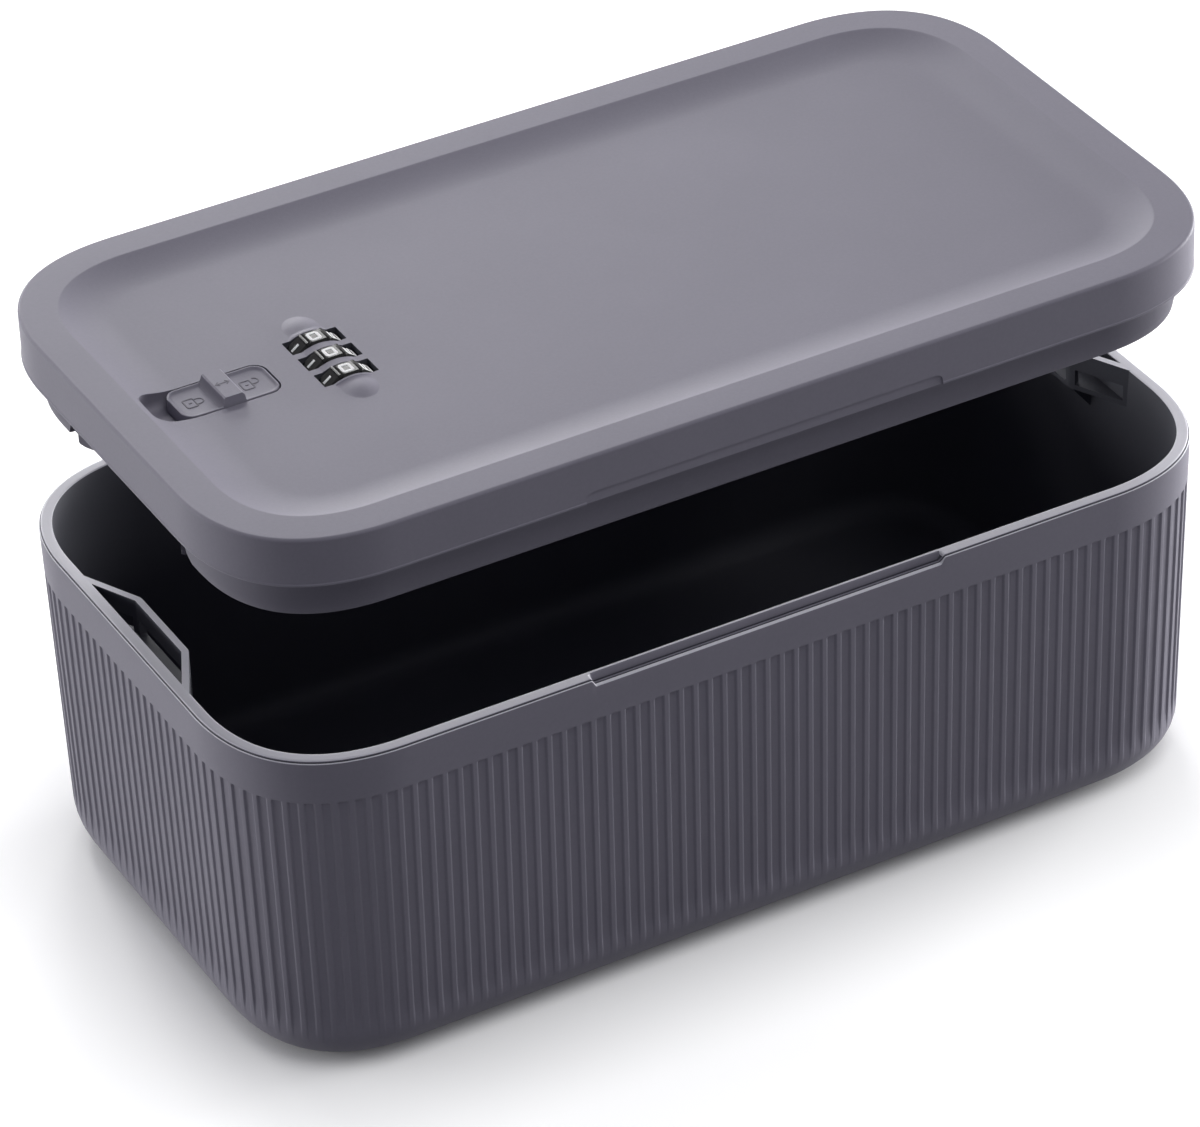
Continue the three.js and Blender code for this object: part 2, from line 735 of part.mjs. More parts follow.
function resetSpring() {
  const meanRadius = shaftRadius + resetWire / 2 + 2 * fitGap;
  const low = dialPlaces[0] + dialWidth / 2 + fitGap + resetWire / 2;
  const high = cheekInside - fitGap - resetWire / 2;
  class Helix extends THREE.Curve {
    getPoint(t) {
      const angle = t * resetTurns * 2 * Math.PI;
      return new THREE.Vector3(
        dialX + meanRadius * Math.cos(angle), low + t * (high - low), dialZ + meanRadius * Math.sin(angle),
      );
    }
  }
  const section = new THREE.Shape();
  section.absarc(0, 0, resetWire / 2, 0, 2 * Math.PI);
  return toSolid(new THREE.ExtrudeGeometry(section, {
    extrudePath: new Helix(), steps: resetTurns * 12, curveSegments: 3, bevelEnabled: false,
  }));
}

// The reset tab pushes the shaft through its cams so that a new code can be set
function resetTab() {
  const blade = block(
    [dialX - resetWidth / 2, resetLow, -skirtDepth],
    [dialX + resetWidth / 2, resetLow + resetThickness, dialZ + shaftHeadRadius],
  );
  const foot = block(
    [dialX - resetFootWidth / 2, resetLow, floorTop + fitGap],
    [dialX + resetFootWidth / 2, resetLow + resetFootDepth, floorTop + fitGap + resetFootHeight],
  );
  return join(blade, foot);
}

function lockHousing() {
  const top = panelUnder - fitGap;
  const cheeks = [-cheekOutside, cheekInside].map((y) => (
    block([housingLeft, y, cheekFoot], [housingRight, y + cheekThickness, top])
  ));
  const wall = block(
    [housingRight - cheekThickness, -cheekOutside, cheekFoot + wallLift],
    [housingRight, cheekOutside, top],
  );
  const ears = earPlaces.map(([x, y]) => {
    const root = Math.sign(y) * (cheekOutside - weld);
    return join(
      rod('z', earRadius, [x, y, earLow], earThickness),
      block([x - earRadius, Math.min(y, root), earLow], [x + earRadius, Math.max(y, root), earTop]),
    );
  });
  const bores = rod('y', shaftRadius + fitGap, [dialX, -2 * cheekOutside, dialZ], 4 * cheekOutside);
  const earHoles = earPlaces.map(([x, y]) => (
    rod('z', smallScrewRadius + fitGap, [x, y, earLow - through], earThickness + 2 * through, 12)
  ));
  return cut(join(...cheeks, wall, ...ears), bores, ...earHoles);
}

// Leaf spring whose fingers click into the dials
function clickSpring() {
  const right = housingRight - cheekThickness - fitGap;
  const left = right - leafThickness;
  const tip = dialX + dialRadius + slideGap;
  const half = dialPlaces[0] + fingerFoot;
  const low = dialZ - fingerDrop;
  const back = block([left, -half, low - fingerFoot], [right, half, low + weld]);
  const fingers = dialPlaces.map((y) => crossPrism([
    corner2(left, low),
    corner2(right, low),
    corner2(tip + leafThickness, dialZ),
    corner2(right, dialZ + fingerRise),
    corner2(left, dialZ + fingerRise),
    corner2(tip, dialZ),
  ], y - fingerWidth / 2, y + fingerWidth / 2));
  return join(back, ...fingers);
}

// Near bolt: slider bar with its tip, the comb under the dials and the rack arm
function rackTeeth(x0, x1, side, phase) {
  const lean = Math.tan(THREE.MathUtils.degToRad(pressureAngle)) * toothHeight;
  const half = rackPitch / 4 - backlash / 2;
  const teeth = [];
  const first = Math.ceil((x0 + half + lean - phase) / rackPitch);
  const last = Math.floor((x1 - half - lean - phase) / rackPitch);
  for (let i = first; i <= last; i++) {
    const x = phase + i * rackPitch;
    const points = [
      corner2(x - half - lean, side * (rackRoot + weld)),
      corner2(x + half + lean, side * (rackRoot + weld)),
      corner2(x + half - lean, side * (pinionRadius - toothHeight)),
      corner2(x - half + lean, side * (pinionRadius - toothHeight)),
    ];
    teeth.push(prism(side > 0 ? points.reverse() : points, barLow, barHigh));
  }
  return teeth;
}

function nearBolt() {
  const plateLeft = sliderRight - boltTravel;
  const combX = dialX + boltTravel / 2;
  const tip = block([-boltTip, -boltHalf, barLow], [tipLength - boltTip, boltHalf, boltHigh]);
  const shank = block([-boltTip, -boltHalf, barLow], [dialX, boltHalf, barHigh]);
  const plate = block([plateLeft, -cheekInside, barLow], [dialX + dialRadius, boltHalf, barHigh]);
  const armOut = -rackRoot - rackBarWidth;
  const arm = block([dialX, armOut, barLow], [pinionX + rackReach, -rackRoot, barHigh]);
  const armTeeth = rackTeeth(pinionX - rackBack, pinionX + rackReach, -1, pinionX);
  const comb = dialPlaces.map((y) => {
    const centre = y + camOffset;
    const toothTop = dialZ - camFlat - slideGap;
    return join(
      block([combX - combTooth / 2, centre - combToothWidth / 2, barLow],
        [combX + combTooth / 2, centre + combToothWidth / 2, toothTop]),
      block([combX - combBase / 2, centre - combToothWidth / 2, barLow],
        [combX + combBase / 2, centre + combToothWidth / 2, dialZ - camRadius - fitGap]),
    );
  });
  const below = barLow - through;
  const clicks = [0, boltTravel].map((step) => (
    rod('z', clickNotch, [clickX + step, boltHalf + slideGap, below], barThickness + 2 * through, 12)
  ));
  const screwHole = rod('z', smallScrewRadius + fitGap, [sliderX, 0, below], barThickness + 2 * through, 12);
  const headWay = rod('z', smallHeadRadius + fitGap, [sliderX, 0, below], through + smallHeadHeight + headSink);
  const body = join(tip, shank, plate, arm, ...armTeeth, ...comb);
  return cut(body, ...clicks, screwHole, headWay);
}

// Far bolt: a long bar from the pinion to the other end of the lid
function farBolt() {
  const outside = rackRoot + rackBarWidth;
  const headEnd = boltTip - skirtWall - boltTravel - slideGap;
  const headLeft = headEnd - outside;
  const bar = block([pinionX - rackReach, rackRoot, barLow], [headLeft + weld, outside, barHigh]);
  const head = block([headLeft, -boltHalf, barLow], [headEnd, outside, barHigh]);
  const tip = block([headEnd - through, -boltHalf, barLow], [boltTip, boltHalf, boltHigh]);
  return join(bar, head, tip, ...rackTeeth(pinionX - rackReach, pinionX + rackBack, 1, pinionX));
}

// Involute pinion: one tooth flank is worked out, then mirrored and repeated
function reversingPinion() {
  const alpha = THREE.MathUtils.degToRad(pressureAngle);
  const base = pinionRadius * Math.cos(alpha);
  const tip = pinionRadius + toothHeight;
  const root = pinionRadius - toothHeight - fitGap;
  const involute = (radius) => {
    const pressure = Math.acos(Math.min(base / radius, 1));
    return Math.tan(pressure) - pressure;
  };
  const halfAtPitch = (rackPitch / 2 - backlash) / 2 / pinionRadius;
  const halfAt = (radius) => halfAtPitch + involute(pinionRadius) - involute(Math.max(radius, base));
  const radii = [root, base, pinionRadius, (pinionRadius + tip) / 2, tip];
  const points = [];
  for (let i = 0; i < pinionTeeth; i++) {
    const centre = ((i + 0.5) * 2 * Math.PI) / pinionTeeth - Math.PI / 2;
    const flank = radii.map((radius) => [radius, halfAt(radius)]);
    for (const [radius, half] of flank) {
      points.push(corner2(radius * Math.cos(centre - half), radius * Math.sin(centre - half)));
    }
    for (const [radius, half] of flank.reverse()) {
      points.push(corner2(radius * Math.cos(centre + half), radius * Math.sin(centre + half)));
    }
  }
  const wheel = prism(points, barLow, barLow + pinionThickness);
  const bore = rod('z', pivotRadius + fitGap, [0, 0, barLow - through], pinionThickness + 2 * through, 18);
  return cut(wheel, bore);
}

// Leaf that clicks into the near bolt's two notches
function boltClickSpring() {
  const line = [
    [-clickSpan / 2, clickBack],
    [-clickBase / 2, clickBack],
    [0, boltHalf + fitGap],
    [clickBase / 2, clickBack],
    [clickSpan / 2, clickBack],
  ];
  const near = line.map(([x, y]) => corner2(clickX + x, y));
  const far = line.map(([x, y]) => corner2(clickX + x, y + leafThickness)).reverse();
  return prism([...near, ...far], barLow, barHigh);
}

// Screws

// A screw that points up, its head's lower face at z
function screw(x, y, z, radius, headRadius, headHeight, length) {
  const profile = [
    [0, 0], [headRadius * 0.8, 0], [headRadius, headHeight * 0.4], [headRadius, headHeight],
    [radius, headHeight], [radius, headHeight + length - radius], [0, headHeight + length],
  ];
  const geometry = new THREE.LatheGeometry(profile.map(([r, h]) => corner2(r, h)), 10);
  geometry.rotateX(Math.PI / 2);
  geometry.translate(x, y, z);
  const drive = rod('z', radius * 0.6, [x, y, z - through], through + headHeight * 0.6, 6);
  return cut(toSolid(geometry), drive);
}

const lidScrew = ([x, y]) => screw(
  x, y, -skirtDepth + fitGap, screwRadius, screwHeadRadius, screwHeadHeight - fitGap, screwLength,
);

const housingScrewLow = earLow - fitGap - smallHeadHeight;
const housingScrew = ([x, y]) => screw(
  x, y, housingScrewLow, smallScrewRadius, smallHeadRadius, smallHeadHeight, housingScrewLength,
);

const sliderScrew = () => screw(
  sliderX, 0, barLow, smallScrewRadius, smallHeadRadius, smallHeadHeight - fitGap, sliderScrewLength,
);

function pinionScrew() {
  const headRadius = pivotRadius + pinionHeadReach;
  const stub = screw(pinionX, 0, 0, smallScrewRadius, headRadius, smallHeadHeight, pinionScrewLength);
  return stub.rotate([180, 0, 0]).translate([0, 0, pivotHigh + fitGap + smallHeadHeight]);
}

// Assembly

function piece(name, solid, material) {
  const mesh = new THREE.Mesh(toGeometry(solid), material);
  mesh.name = name;
  return mesh;
}

const lid = new THREE.Group();
lid.position.z = tubHeight + fitGap + lidLift;
lid.add(
  piece('lid_cover', lidCover(), shellPlastic),
  piece('lid_liner', lidLiner(), innerPlastic),
  piece('slider_button', sliderButton(), shellPlastic),
  piece('slider_screw', sliderScrew(), steel),
  piece('near_bolt', nearBolt(), lockPlastic),
  piece('far_bolt', farBolt(), lockPlastic),
  piece('pinion_screw', pinionScrew(), steel),
  piece('dial_shaft', dialShaft(), steel),
  piece('shaft_clip', shaftClip(), steel),
  piece('reset_spring', resetSpring(), steel),
  piece('reset_tab', resetTab(), lockPlastic),
  piece('lock_housing', lockHousing(), lockPlastic),
  piece('dial_click_spring', clickSpring(), steel),
  piece('bolt_click_spring', boltClickSpring(), steel),
  ...lidScrewPlaces.map((place, i) => piece(`lid_screw_${i + 1}`, lidScrew(place), steel)),
  ...earPlaces.map((place, i) => piece(`housing_screw_${i + 1}`, housingScrew(place), steel)),
);

const pinion = piece('reversing_pinion', reversingPinion(), lockPlastic);
pinion.position.x = pinionX;
lid.add(pinion);

dialPlaces.forEach((y, i) => {
  const dial = piece(`number_dial_${i + 1}`, numberDial(y), dialPlastic);
  const cam = piece(`code_cam_${i + 1}`, codeCam(y), lockPlastic);
  dial.position.set(dialX, 0, dialZ);
  cam.position.set(dialX, 0, dialZ);
  lid.add(dial, cam);
});

const lockBox = new THREE.Group();
lockBox.add(piece('tub', tub(), shellPlastic), lid);

export default lockBox;
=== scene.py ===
"""Medication lock box: a ribbed tub and a lift-off lid with a slider and three number dials."""

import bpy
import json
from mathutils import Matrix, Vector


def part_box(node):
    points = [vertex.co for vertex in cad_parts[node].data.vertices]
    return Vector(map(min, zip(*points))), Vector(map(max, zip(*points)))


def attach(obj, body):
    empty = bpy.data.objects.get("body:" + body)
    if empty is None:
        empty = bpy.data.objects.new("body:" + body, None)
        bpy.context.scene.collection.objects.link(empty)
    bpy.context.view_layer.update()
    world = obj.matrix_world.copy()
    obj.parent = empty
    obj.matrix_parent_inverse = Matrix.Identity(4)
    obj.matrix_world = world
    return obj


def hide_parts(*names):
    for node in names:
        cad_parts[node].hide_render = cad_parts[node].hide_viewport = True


bl_info = {
    "name": "Medication Lock Box",
    "version": (1, 0, 0),
    "blender": (4, 5, 0),
    "location": "View3D > Sidebar > Lock Box",
    "description": "Builds the finished surfaces of the lock box over its packed model, and its studio",
    "category": "Object",
}

import json
import math

import bpy
import numpy as np
from bpy.props import FloatProperty, FloatVectorProperty, IntProperty, PointerProperty
from mathutils import Matrix, Vector

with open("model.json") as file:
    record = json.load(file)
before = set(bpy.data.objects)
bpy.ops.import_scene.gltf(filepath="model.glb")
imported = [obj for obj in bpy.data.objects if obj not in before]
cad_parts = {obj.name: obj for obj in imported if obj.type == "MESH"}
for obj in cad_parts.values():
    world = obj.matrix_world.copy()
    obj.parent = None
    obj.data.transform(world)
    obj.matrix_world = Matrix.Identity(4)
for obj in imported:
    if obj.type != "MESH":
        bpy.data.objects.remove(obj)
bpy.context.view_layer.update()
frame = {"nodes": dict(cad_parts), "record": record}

MM = 0.001


def ends(node, axis):
    """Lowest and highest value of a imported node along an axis, in metres."""
    low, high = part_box(node)
    return low[axis], high[axis]


def middle(node, axis):
    return sum(ends(node, axis)) / 2


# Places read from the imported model
BOX_LENGTH = ends("tub", 0)[1] - ends("tub", 0)[0]
BOX_WIDTH = ends("tub", 1)[1] - ends("tub", 1)[0]
TUB_HEIGHT = ends("tub", 2)[1]
LID_Z = ends("lid_cover", 2)[0]
LINER_LOW = ends("lid_liner", 2)[0] - LID_Z
BUTTON_LEFT, BUTTON_RIGHT = ends("slider_button", 0)
BUTTON_HALF = ends("slider_button", 1)[1]
BUTTON_TOP = ends("slider_button", 2)[1] - LID_Z
DIAL_X = middle("number_dial_2", 0)
DIAL_Z = middle("number_dial_2", 2) - LID_Z
DIAL_RADIUS = (ends("number_dial_2", 2)[1] - ends("number_dial_2", 2)[0]) / 2
DIAL_HALF = (ends("number_dial_2", 1)[1] - ends("number_dial_2", 1)[0]) / 2
DIAL_PITCH = middle("number_dial_1", 1) - middle("number_dial_2", 1)

# Outline shared by the tub's lip and the lid's rim
CORNER_REACH = 36 * MM
CORNER_HANDLE = 0.65
CORNER_LEAST = 6 * MM

# Tub
WALL_TAPER = 1.9 * MM
FOOT_RADIUS = 12 * MM
FLOOR = 3 * MM
INSIDE_FOOT = 7 * MM
GROOVE_LOW = 8.5 * MM
GROOVE_FADE = 9 * MM
NOTCH_HALF = 46.5 * MM
RIM_NOTCH = 2.9 * MM

# Keepers
KEEPER_REACH = 7.3 * MM
KEEPER_BASE = 27.7 * MM
KEEPER_FACE = 12.5 * MM
KEEPER_WALL = 1.7 * MM
KEEPER_LOW = 10.7 * MM
KEEPER_BAND = 5 * MM
KEEPER_SHELF = 1.4 * MM
KEEPER_POST = 1.6 * MM
GUSSET_SPREAD = 11 * MM

# Lid, measured up from the lower edge of its rim
RIM_HEIGHT = 12.4 * MM
PANEL_TOP = 9.8 * MM
SHEET = 2.4 * MM
SKIRT_INSET = 4.2 * MM
RAMP_START = 123.7 * MM
RAMP_END = 132 * MM
BOLT_WAY_HALF = 7.4 * MM
BOLT_WAY_HEIGHT = 3.9 * MM
WELL_RADIUS = 3 * MM
SLOT_LEFT = -119.5 * MM
SLOT_RIGHT = -87.6 * MM
SLOT_HALF = 6.75 * MM
SLOT_CORNER = 3.6 * MM
SLOT_FLOOR = 6.3 * MM
WINDOW_HALF = (6.9 * MM, 2.9 * MM)
ARCH_HEIGHT = 1.05 * MM
PLATE_SINK = 0.56 * MM
COVE_RADIUS = 2.1 * MM
DIGITS = 10


AS_LENGTH = {"unit": "LENGTH", "precision": 5}
AS_COLOUR = {"subtype": "COLOR", "size": 3, "min": 0, "max": 1}


class LOCKBOX_PG_sizes(bpy.types.PropertyGroup):
    """Sizes of the moulded surfaces"""

    rib_count: IntProperty(
        name="Ribs", description="Number of ribs round the tub", default=196, min=40, max=400)
    groove_floor: FloatProperty(
        name="Groove floor", description="Width of the flat floor between two ribs",
        default=1.75 * MM, **AS_LENGTH)
    groove_wall: FloatProperty(
        name="Groove wall", description="Run of the slope from a groove's floor to the rib's crest",
        default=0.52 * MM, **AS_LENGTH)
    groove_depth: FloatProperty(
        name="Groove depth", description="Depth of a groove between two ribs",
        default=0.48 * MM, **AS_LENGTH)
    band_height: FloatProperty(
        name="Band height", description="Height of the smooth band under the lip",
        default=11.5 * MM, **AS_LENGTH)
    lip_width: FloatProperty(
        name="Lip width", description="Width of the tub's flat lip",
        default=3.1 * MM, **AS_LENGTH)
    border_width: FloatProperty(
        name="Border width", description="Width of the flat border round the lid",
        default=9.3 * MM, **AS_LENGTH)
    dish_width: FloatProperty(
        name="Dish width", description="Width of the hollow slope inside the border",
        default=12 * MM, **AS_LENGTH)
    edge_radius: FloatProperty(
        name="Rim edge radius", description="Radius of the lid's top outer edge",
        default=0.8 * MM, **AS_LENGTH)


class LOCKBOX_PG_colours(bpy.types.PropertyGroup):
    """Colours of the moulded plastics and the metal, with a painted highlight in the lip colour and painted
    shade in the inside and liner colours
    """

    shell: FloatVectorProperty(
        name="Shell", description="Colour of the tub, the lid and the slider",
        default=(0.222, 0.213, 0.254), **AS_COLOUR)
    # Lighter than the shell: a painted highlight and sheen for the light that the lip catches, not a colour of
    # its own
    lip: FloatVectorProperty(
        name="Lip", description="Colour of the tub's polished lip",
        default=(0.69, 0.682, 0.73), **AS_COLOUR)
    # Darker than the shell: painted shade for the tub's inside, the keepers and the walls of the dial windows
    inside: FloatVectorProperty(
        name="Inside", description="Colour of the tub's inside",
        default=(0.085, 0.086, 0.102), **AS_COLOUR)
    # Darker than the shell: the shell plastic with painted shade for the liner under the lid
    liner: FloatVectorProperty(
        name="Liner", description="Colour of the lid's liner",
        default=(0.152, 0.146, 0.178), **AS_COLOUR)
    dial: FloatVectorProperty(
        name="Dials", description="Colour of the number dials",
        default=(0.006, 0.006, 0.007), **AS_COLOUR)
    numeral: FloatVectorProperty(
        name="Numerals", description="Colour of the numerals",
        default=(0.85, 0.85, 0.84), **AS_COLOUR)
    lock: FloatVectorProperty(
        name="Lock parts", description="Colour of the moulded parts inside the lock",
        default=(0.5, 0.5, 0.52), **AS_COLOUR)
    steel: FloatVectorProperty(
        name="Steel", description="Colour of screws, springs and the shaft",
        default=(0.58, 0.58, 0.57), **AS_COLOUR)


# Materials

def shaded(colour, factor):
    return (*[min(c * factor, 1) for c in colour], 1)


def moulded(name, colour, roughness=0.45, mottle=0.05, grain=0.35, shine=0.15, metallic=0.0,
            grain_size=0.5 * MM):
    """Moulded or drawn surface: slow drifts of colour, a fine grain in the gloss and in the relief."""
    material = bpy.data.materials.new(name)
    material.use_nodes = True
    nodes, links = material.node_tree.nodes, material.node_tree.links
    surface = nodes["Principled BSDF"]
    surface.inputs["Metallic"].default_value = metallic
    surface.inputs["Specular IOR Level"].default_value = shine
    place = nodes.new("ShaderNodeTexCoord")

    def noise(scale, detail):
        node = nodes.new("ShaderNodeTexNoise")
        node.inputs["Scale"].default_value = scale
        node.inputs["Detail"].default_value = detail
        links.new(place.outputs["Object"], node.inputs["Vector"])
        return node

    drift = noise(22, 3)
    speck = noise(0.6 / grain_size, 1)
    relief = noise(1 / grain_size, 2)
    tone = nodes.new("ShaderNodeMix")
    tone.data_type = "FLOAT"
    tone.inputs["Factor"].default_value = 0.3
    links.new(drift.outputs["Fac"], tone.inputs[2])
    links.new(speck.outputs["Fac"], tone.inputs[3])
    ramp = nodes.new("ShaderNodeValToRGB")
    ramp.color_ramp.elements[0].position = 0.3
    ramp.color_ramp.elements[0].color = shaded(colour, 1 - mottle)
    ramp.color_ramp.elements[1].position = 0.7
    ramp.color_ramp.elements[1].color = shaded(colour, 1 + mottle)
    links.new(tone.outputs[0], ramp.inputs["Fac"])
    links.new(ramp.outputs["Color"], surface.inputs["Base Color"])
    gloss = nodes.new("ShaderNodeMapRange")
    gloss.inputs["To Min"].default_value = roughness - 0.06
    gloss.inputs["To Max"].default_value = roughness + 0.06
    links.new(relief.outputs["Fac"], gloss.inputs["Value"])
    links.new(gloss.outputs["Result"], surface.inputs["Roughness"])
    bump = nodes.new("ShaderNodeBump")
    bump.inputs["Strength"].default_value = grain
    bump.inputs["Distance"].default_value = 0.03 * MM
    links.new(relief.outputs["Fac"], bump.inputs["Height"])
    links.new(bump.outputs["Normal"], surface.inputs["Normal"])
    return material


def finish(name):
    """The material of that name, made the first time that it is asked for."""
    found = bpy.data.materials.get(name)
    if found:
        return found
    colours = bpy.context.scene.lock_box_colours
    recipes = {
        "shell_plastic": lambda: moulded(name, colours.shell, roughness=0.5),
        # The lip: a lighter copy of the shell plastic, as a painted highlight
        "lip_painted_highlight": lambda: moulded(name, colours.lip, roughness=0.38, mottle=0.03),
        # The inside: the plastic darkened, as painted shade
        "inside_painted_shade": lambda: moulded(name, colours.inside, roughness=0.55),
        # The liner: the shell plastic darkened, as painted shade
        "liner_painted_shade": lambda: moulded(name, colours.liner, roughness=0.55),
        "dial_plastic": lambda: moulded(
            name, colours.dial, roughness=0.2, mottle=0.2, grain=0.06, shine=0.15, grain_size=0.8 * MM),
        # The pictograms: the shell colour darkened, as painted shade on the raised strokes
        "sign_painted_shade": lambda: moulded(name, [c * 0.6 for c in colours.shell], roughness=0.5),
        "numeral_paint": lambda: moulded(name, colours.numeral, roughness=0.4, mottle=0.02, grain=0.2),
        "lock_plastic": lambda: moulded(name, colours.lock, roughness=0.4, mottle=0.04),
        "bright_steel": lambda: moulded(
            name, colours.steel, roughness=0.26, mottle=0.08, grain=0.3, shine=0.5, metallic=1,
            grain_size=0.15 * MM),
    }
    return recipes[name]()


# Mesh helpers

def smooth(mesh, angle=32):
    mesh.shade_smooth()
    mesh.set_sharp_from_angle(angle=math.radians(angle))


def new_piece(name, vertices, faces, materials, face_materials=None):
    """A mesh object of that name; face_materials gives an index into materials for each face."""
    mesh = bpy.data.meshes.new(name)
    mesh.from_pydata([tuple(v) for v in vertices], [], faces)
    for material in materials:
        mesh.materials.append(finish(material))
    if face_materials is not None:
        mesh.polygons.foreach_set("material_index", face_materials)
    mesh.update()
    piece = bpy.data.objects.new(name, mesh)
    bpy.context.scene.collection.objects.link(piece)
    return piece


def place(piece, body, slot, *nodes):
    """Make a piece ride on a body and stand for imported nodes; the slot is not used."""
    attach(piece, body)
    if nodes:
        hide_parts(*nodes)
    return piece


def skin(rows, row_materials=None):
    """Vertices, faces and face materials of a closed skin through rows of points, capped at both ends."""
    count = len(rows[0])
    here = np.arange(count)
    ahead = (here + 1) % count
    bands = [
        np.stack([low + here, low + ahead, low + count + ahead, low + count + here], axis=1)
        for low in range(0, count * (len(rows) - 1), count)
    ]
    faces = np.concatenate(bands).tolist()
    top = count * (len(rows) - 1)
    faces.append([int(i) for i in here[::-1]])
    faces.append([int(top + i) for i in here])
    chosen = row_materials or [0] * (len(rows) - 1)
    materials = np.repeat(chosen, count).tolist() + [chosen[0], chosen[-1]]
    return np.concatenate(rows), faces, materials


def at_level(flat, z):
    """Flat points set at a height, which is one value or one for each point."""
    return np.column_stack([flat, np.broadcast_to(z, len(flat))])


def circle(x, y, radius, count):
    turn = np.arange(count) * 2 * math.pi / count
    return np.column_stack([x + radius * np.cos(turn), y + radius * np.sin(turn)])


def prism(name, outline, low, high, material, along="z"):
    """A flat outline carried along an axis: drawn in XY for z, in XZ for y and in YZ for x."""
    order = {"x": [2, 0, 1], "y": [0, 2, 1], "z": [0, 1, 2]}[along]
    rows = [at_level(np.array(outline), level)[:, order] for level in (low, high)]
    if along == "y":
        rows.reverse()
    vertices, faces, _ = skin(rows)
    return new_piece(name, vertices, faces, [material])


def rounded(points, radius, steps=5):
    """A closed outline with each corner rounded; radius is one value or one for each corner."""
    points = [Vector(p) for p in points]
    radii = radius if isinstance(radius, (list, tuple)) else [radius] * len(points)
    out = []
    for i, corner in enumerate(points):
        before = (points[i - 1] - corner).normalized()
        after = (points[(i + 1) % len(points)] - corner).normalized()
        if radii[i] <= 0:
            out.append(corner)
            continue
        half_angle = before.angle(after) / 2
        reach = radii[i] / math.tan(half_angle)
        start, end = corner + before * reach, corner + after * reach
        centre = corner + (before + after).normalized() * (radii[i] / math.sin(half_angle))
        for k in range(steps + 1):
            mix = start.lerp(end, k / steps) - centre
            out.append(centre + mix.normalized() * radii[i])
    return [tuple(p) for p in out]


def box_outline(x0, y0, x1, y1, radius, steps=6):
    return rounded([(x0, y0), (x1, y0), (x1, y1), (x0, y1)], radius, steps)


def modify(piece, *steps):
    """Add modifiers, given as (kind, settings), and keep their result as the piece's mesh."""
    for kind, settings in steps:
        modifier = piece.modifiers.new(kind.title(), kind)
        for key, value in settings.items():
            setattr(modifier, key, value)
    bpy.context.view_layer.update()
    result = bpy.data.meshes.new_from_object(piece.evaluated_get(bpy.context.evaluated_depsgraph_get()))
    old = piece.data
    piece.modifiers.clear()
    piece.data = result
    bpy.data.meshes.remove(old)


def combine(piece, operation, others):
    """Boolean of a piece with other closed pieces, which are used up."""
    modify(piece, *[
        ("BOOLEAN", {"object": other, "operation": operation, "solver": "EXACT"}) for other in others
    ])
    for other in others:
        mesh = other.data
        bpy.data.objects.remove(other)
        bpy.data.meshes.remove(mesh)


def soften(piece, width=0.2 * MM, angle=40, material=-1):
    """Round the sharp edges and let the flat faces lead the shading."""
    modify(piece, ("BEVEL", {
        "width": width, "segments": 2, "limit_method": "ANGLE", "material": material,
        "angle_limit": math.radians(angle), "use_clamp_overlap": True, "miter_outer": "MITER_ARC",
    }))
    smooth(piece.data, 40)
    modify(piece, ("WEIGHTED_NORMAL", {"keep_sharp": True, "weight": 80}))


def lift(piece, z):
    piece.data.transform(Matrix.Translation((0, 0, z)))
    return piece


def turned(piece, angle):
    """Turn a piece about the box's upright axis."""
    piece.data.transform(Matrix.Rotation(angle, 4, "Z"))
    return piece


# Box outline

def outline(params, inset):
    """Points of the box outline, drawn in by an inset.

    Params run from 0 to 8: even steps are sides, and odd ones are corners.
    """
    params = np.asarray(params, float)
    inset = np.broadcast_to(inset, params.shape)
    a, b = BOX_LENGTH / 2 - inset, BOX_WIDTH / 2 - inset
    r = np.maximum(CORNER_REACH - inset, CORNER_LEAST)
    h = r * (1 - CORNER_HANDLE)

    def side(start, end):
        start, end = np.array(start), np.array(end)
        return [start, start + (end - start) / 3, start + (end - start) * 2 / 3, end]

    knots = np.array([
        side((a, r - b), (a, b - r)),
        [(a, b - r), (a, b - h), (a - h, b), (a - r, b)],
        side((a - r, b), (r - a, b)),
        [(r - a, b), (h - a, b), (-a, b - h), (-a, b - r)],
        side((-a, b - r), (-a, r - b)),
        [(-a, r - b), (-a, h - b), (h - a, -b), (r - a, -b)],
        side((r - a, -b), (a - r, -b)),
        [(a - r, -b), (a - h, -b), (a, h - b), (a, r - b)],
    ])
    step = np.floor(params).astype(int)
    t = params - step
    four = knots[step % 8, :, :, np.arange(len(params))]
    weights = np.stack([(1 - t) ** 3, 3 * t * (1 - t) ** 2, 3 * t * t * (1 - t), t ** 3], axis=1)
    return np.einsum("nk,nkc->nc", weights, four)


def outline_normals(params):
    tangent = outline(np.asarray(params) + 1e-4, 0) - outline(np.asarray(params) - 1e-4, 0)
    tangent /= np.linalg.norm(tangent, axis=1)[:, None]
    return np.stack([tangent[:, 1], -tangent[:, 0]], axis=1)


def ring(params, inset, z):
    return at_level(outline(params, inset), z)


def side_params(side_steps, corner_steps):
    steps = [side_steps, corner_steps] * 4
    return np.concatenate([k + np.arange(n) / n for k, n in enumerate(steps)])


def quarter(steps, start=0.0, end=90.0):
    """Angles of a quarter round, or of the part of a circle from start to end in degrees."""
    return [math.radians(start + (end - start) * k / steps) for k in range(steps + 1)]


def ease(value):
    value = np.clip(value, 0, 1)
    return value * value * (3 - 2 * value)


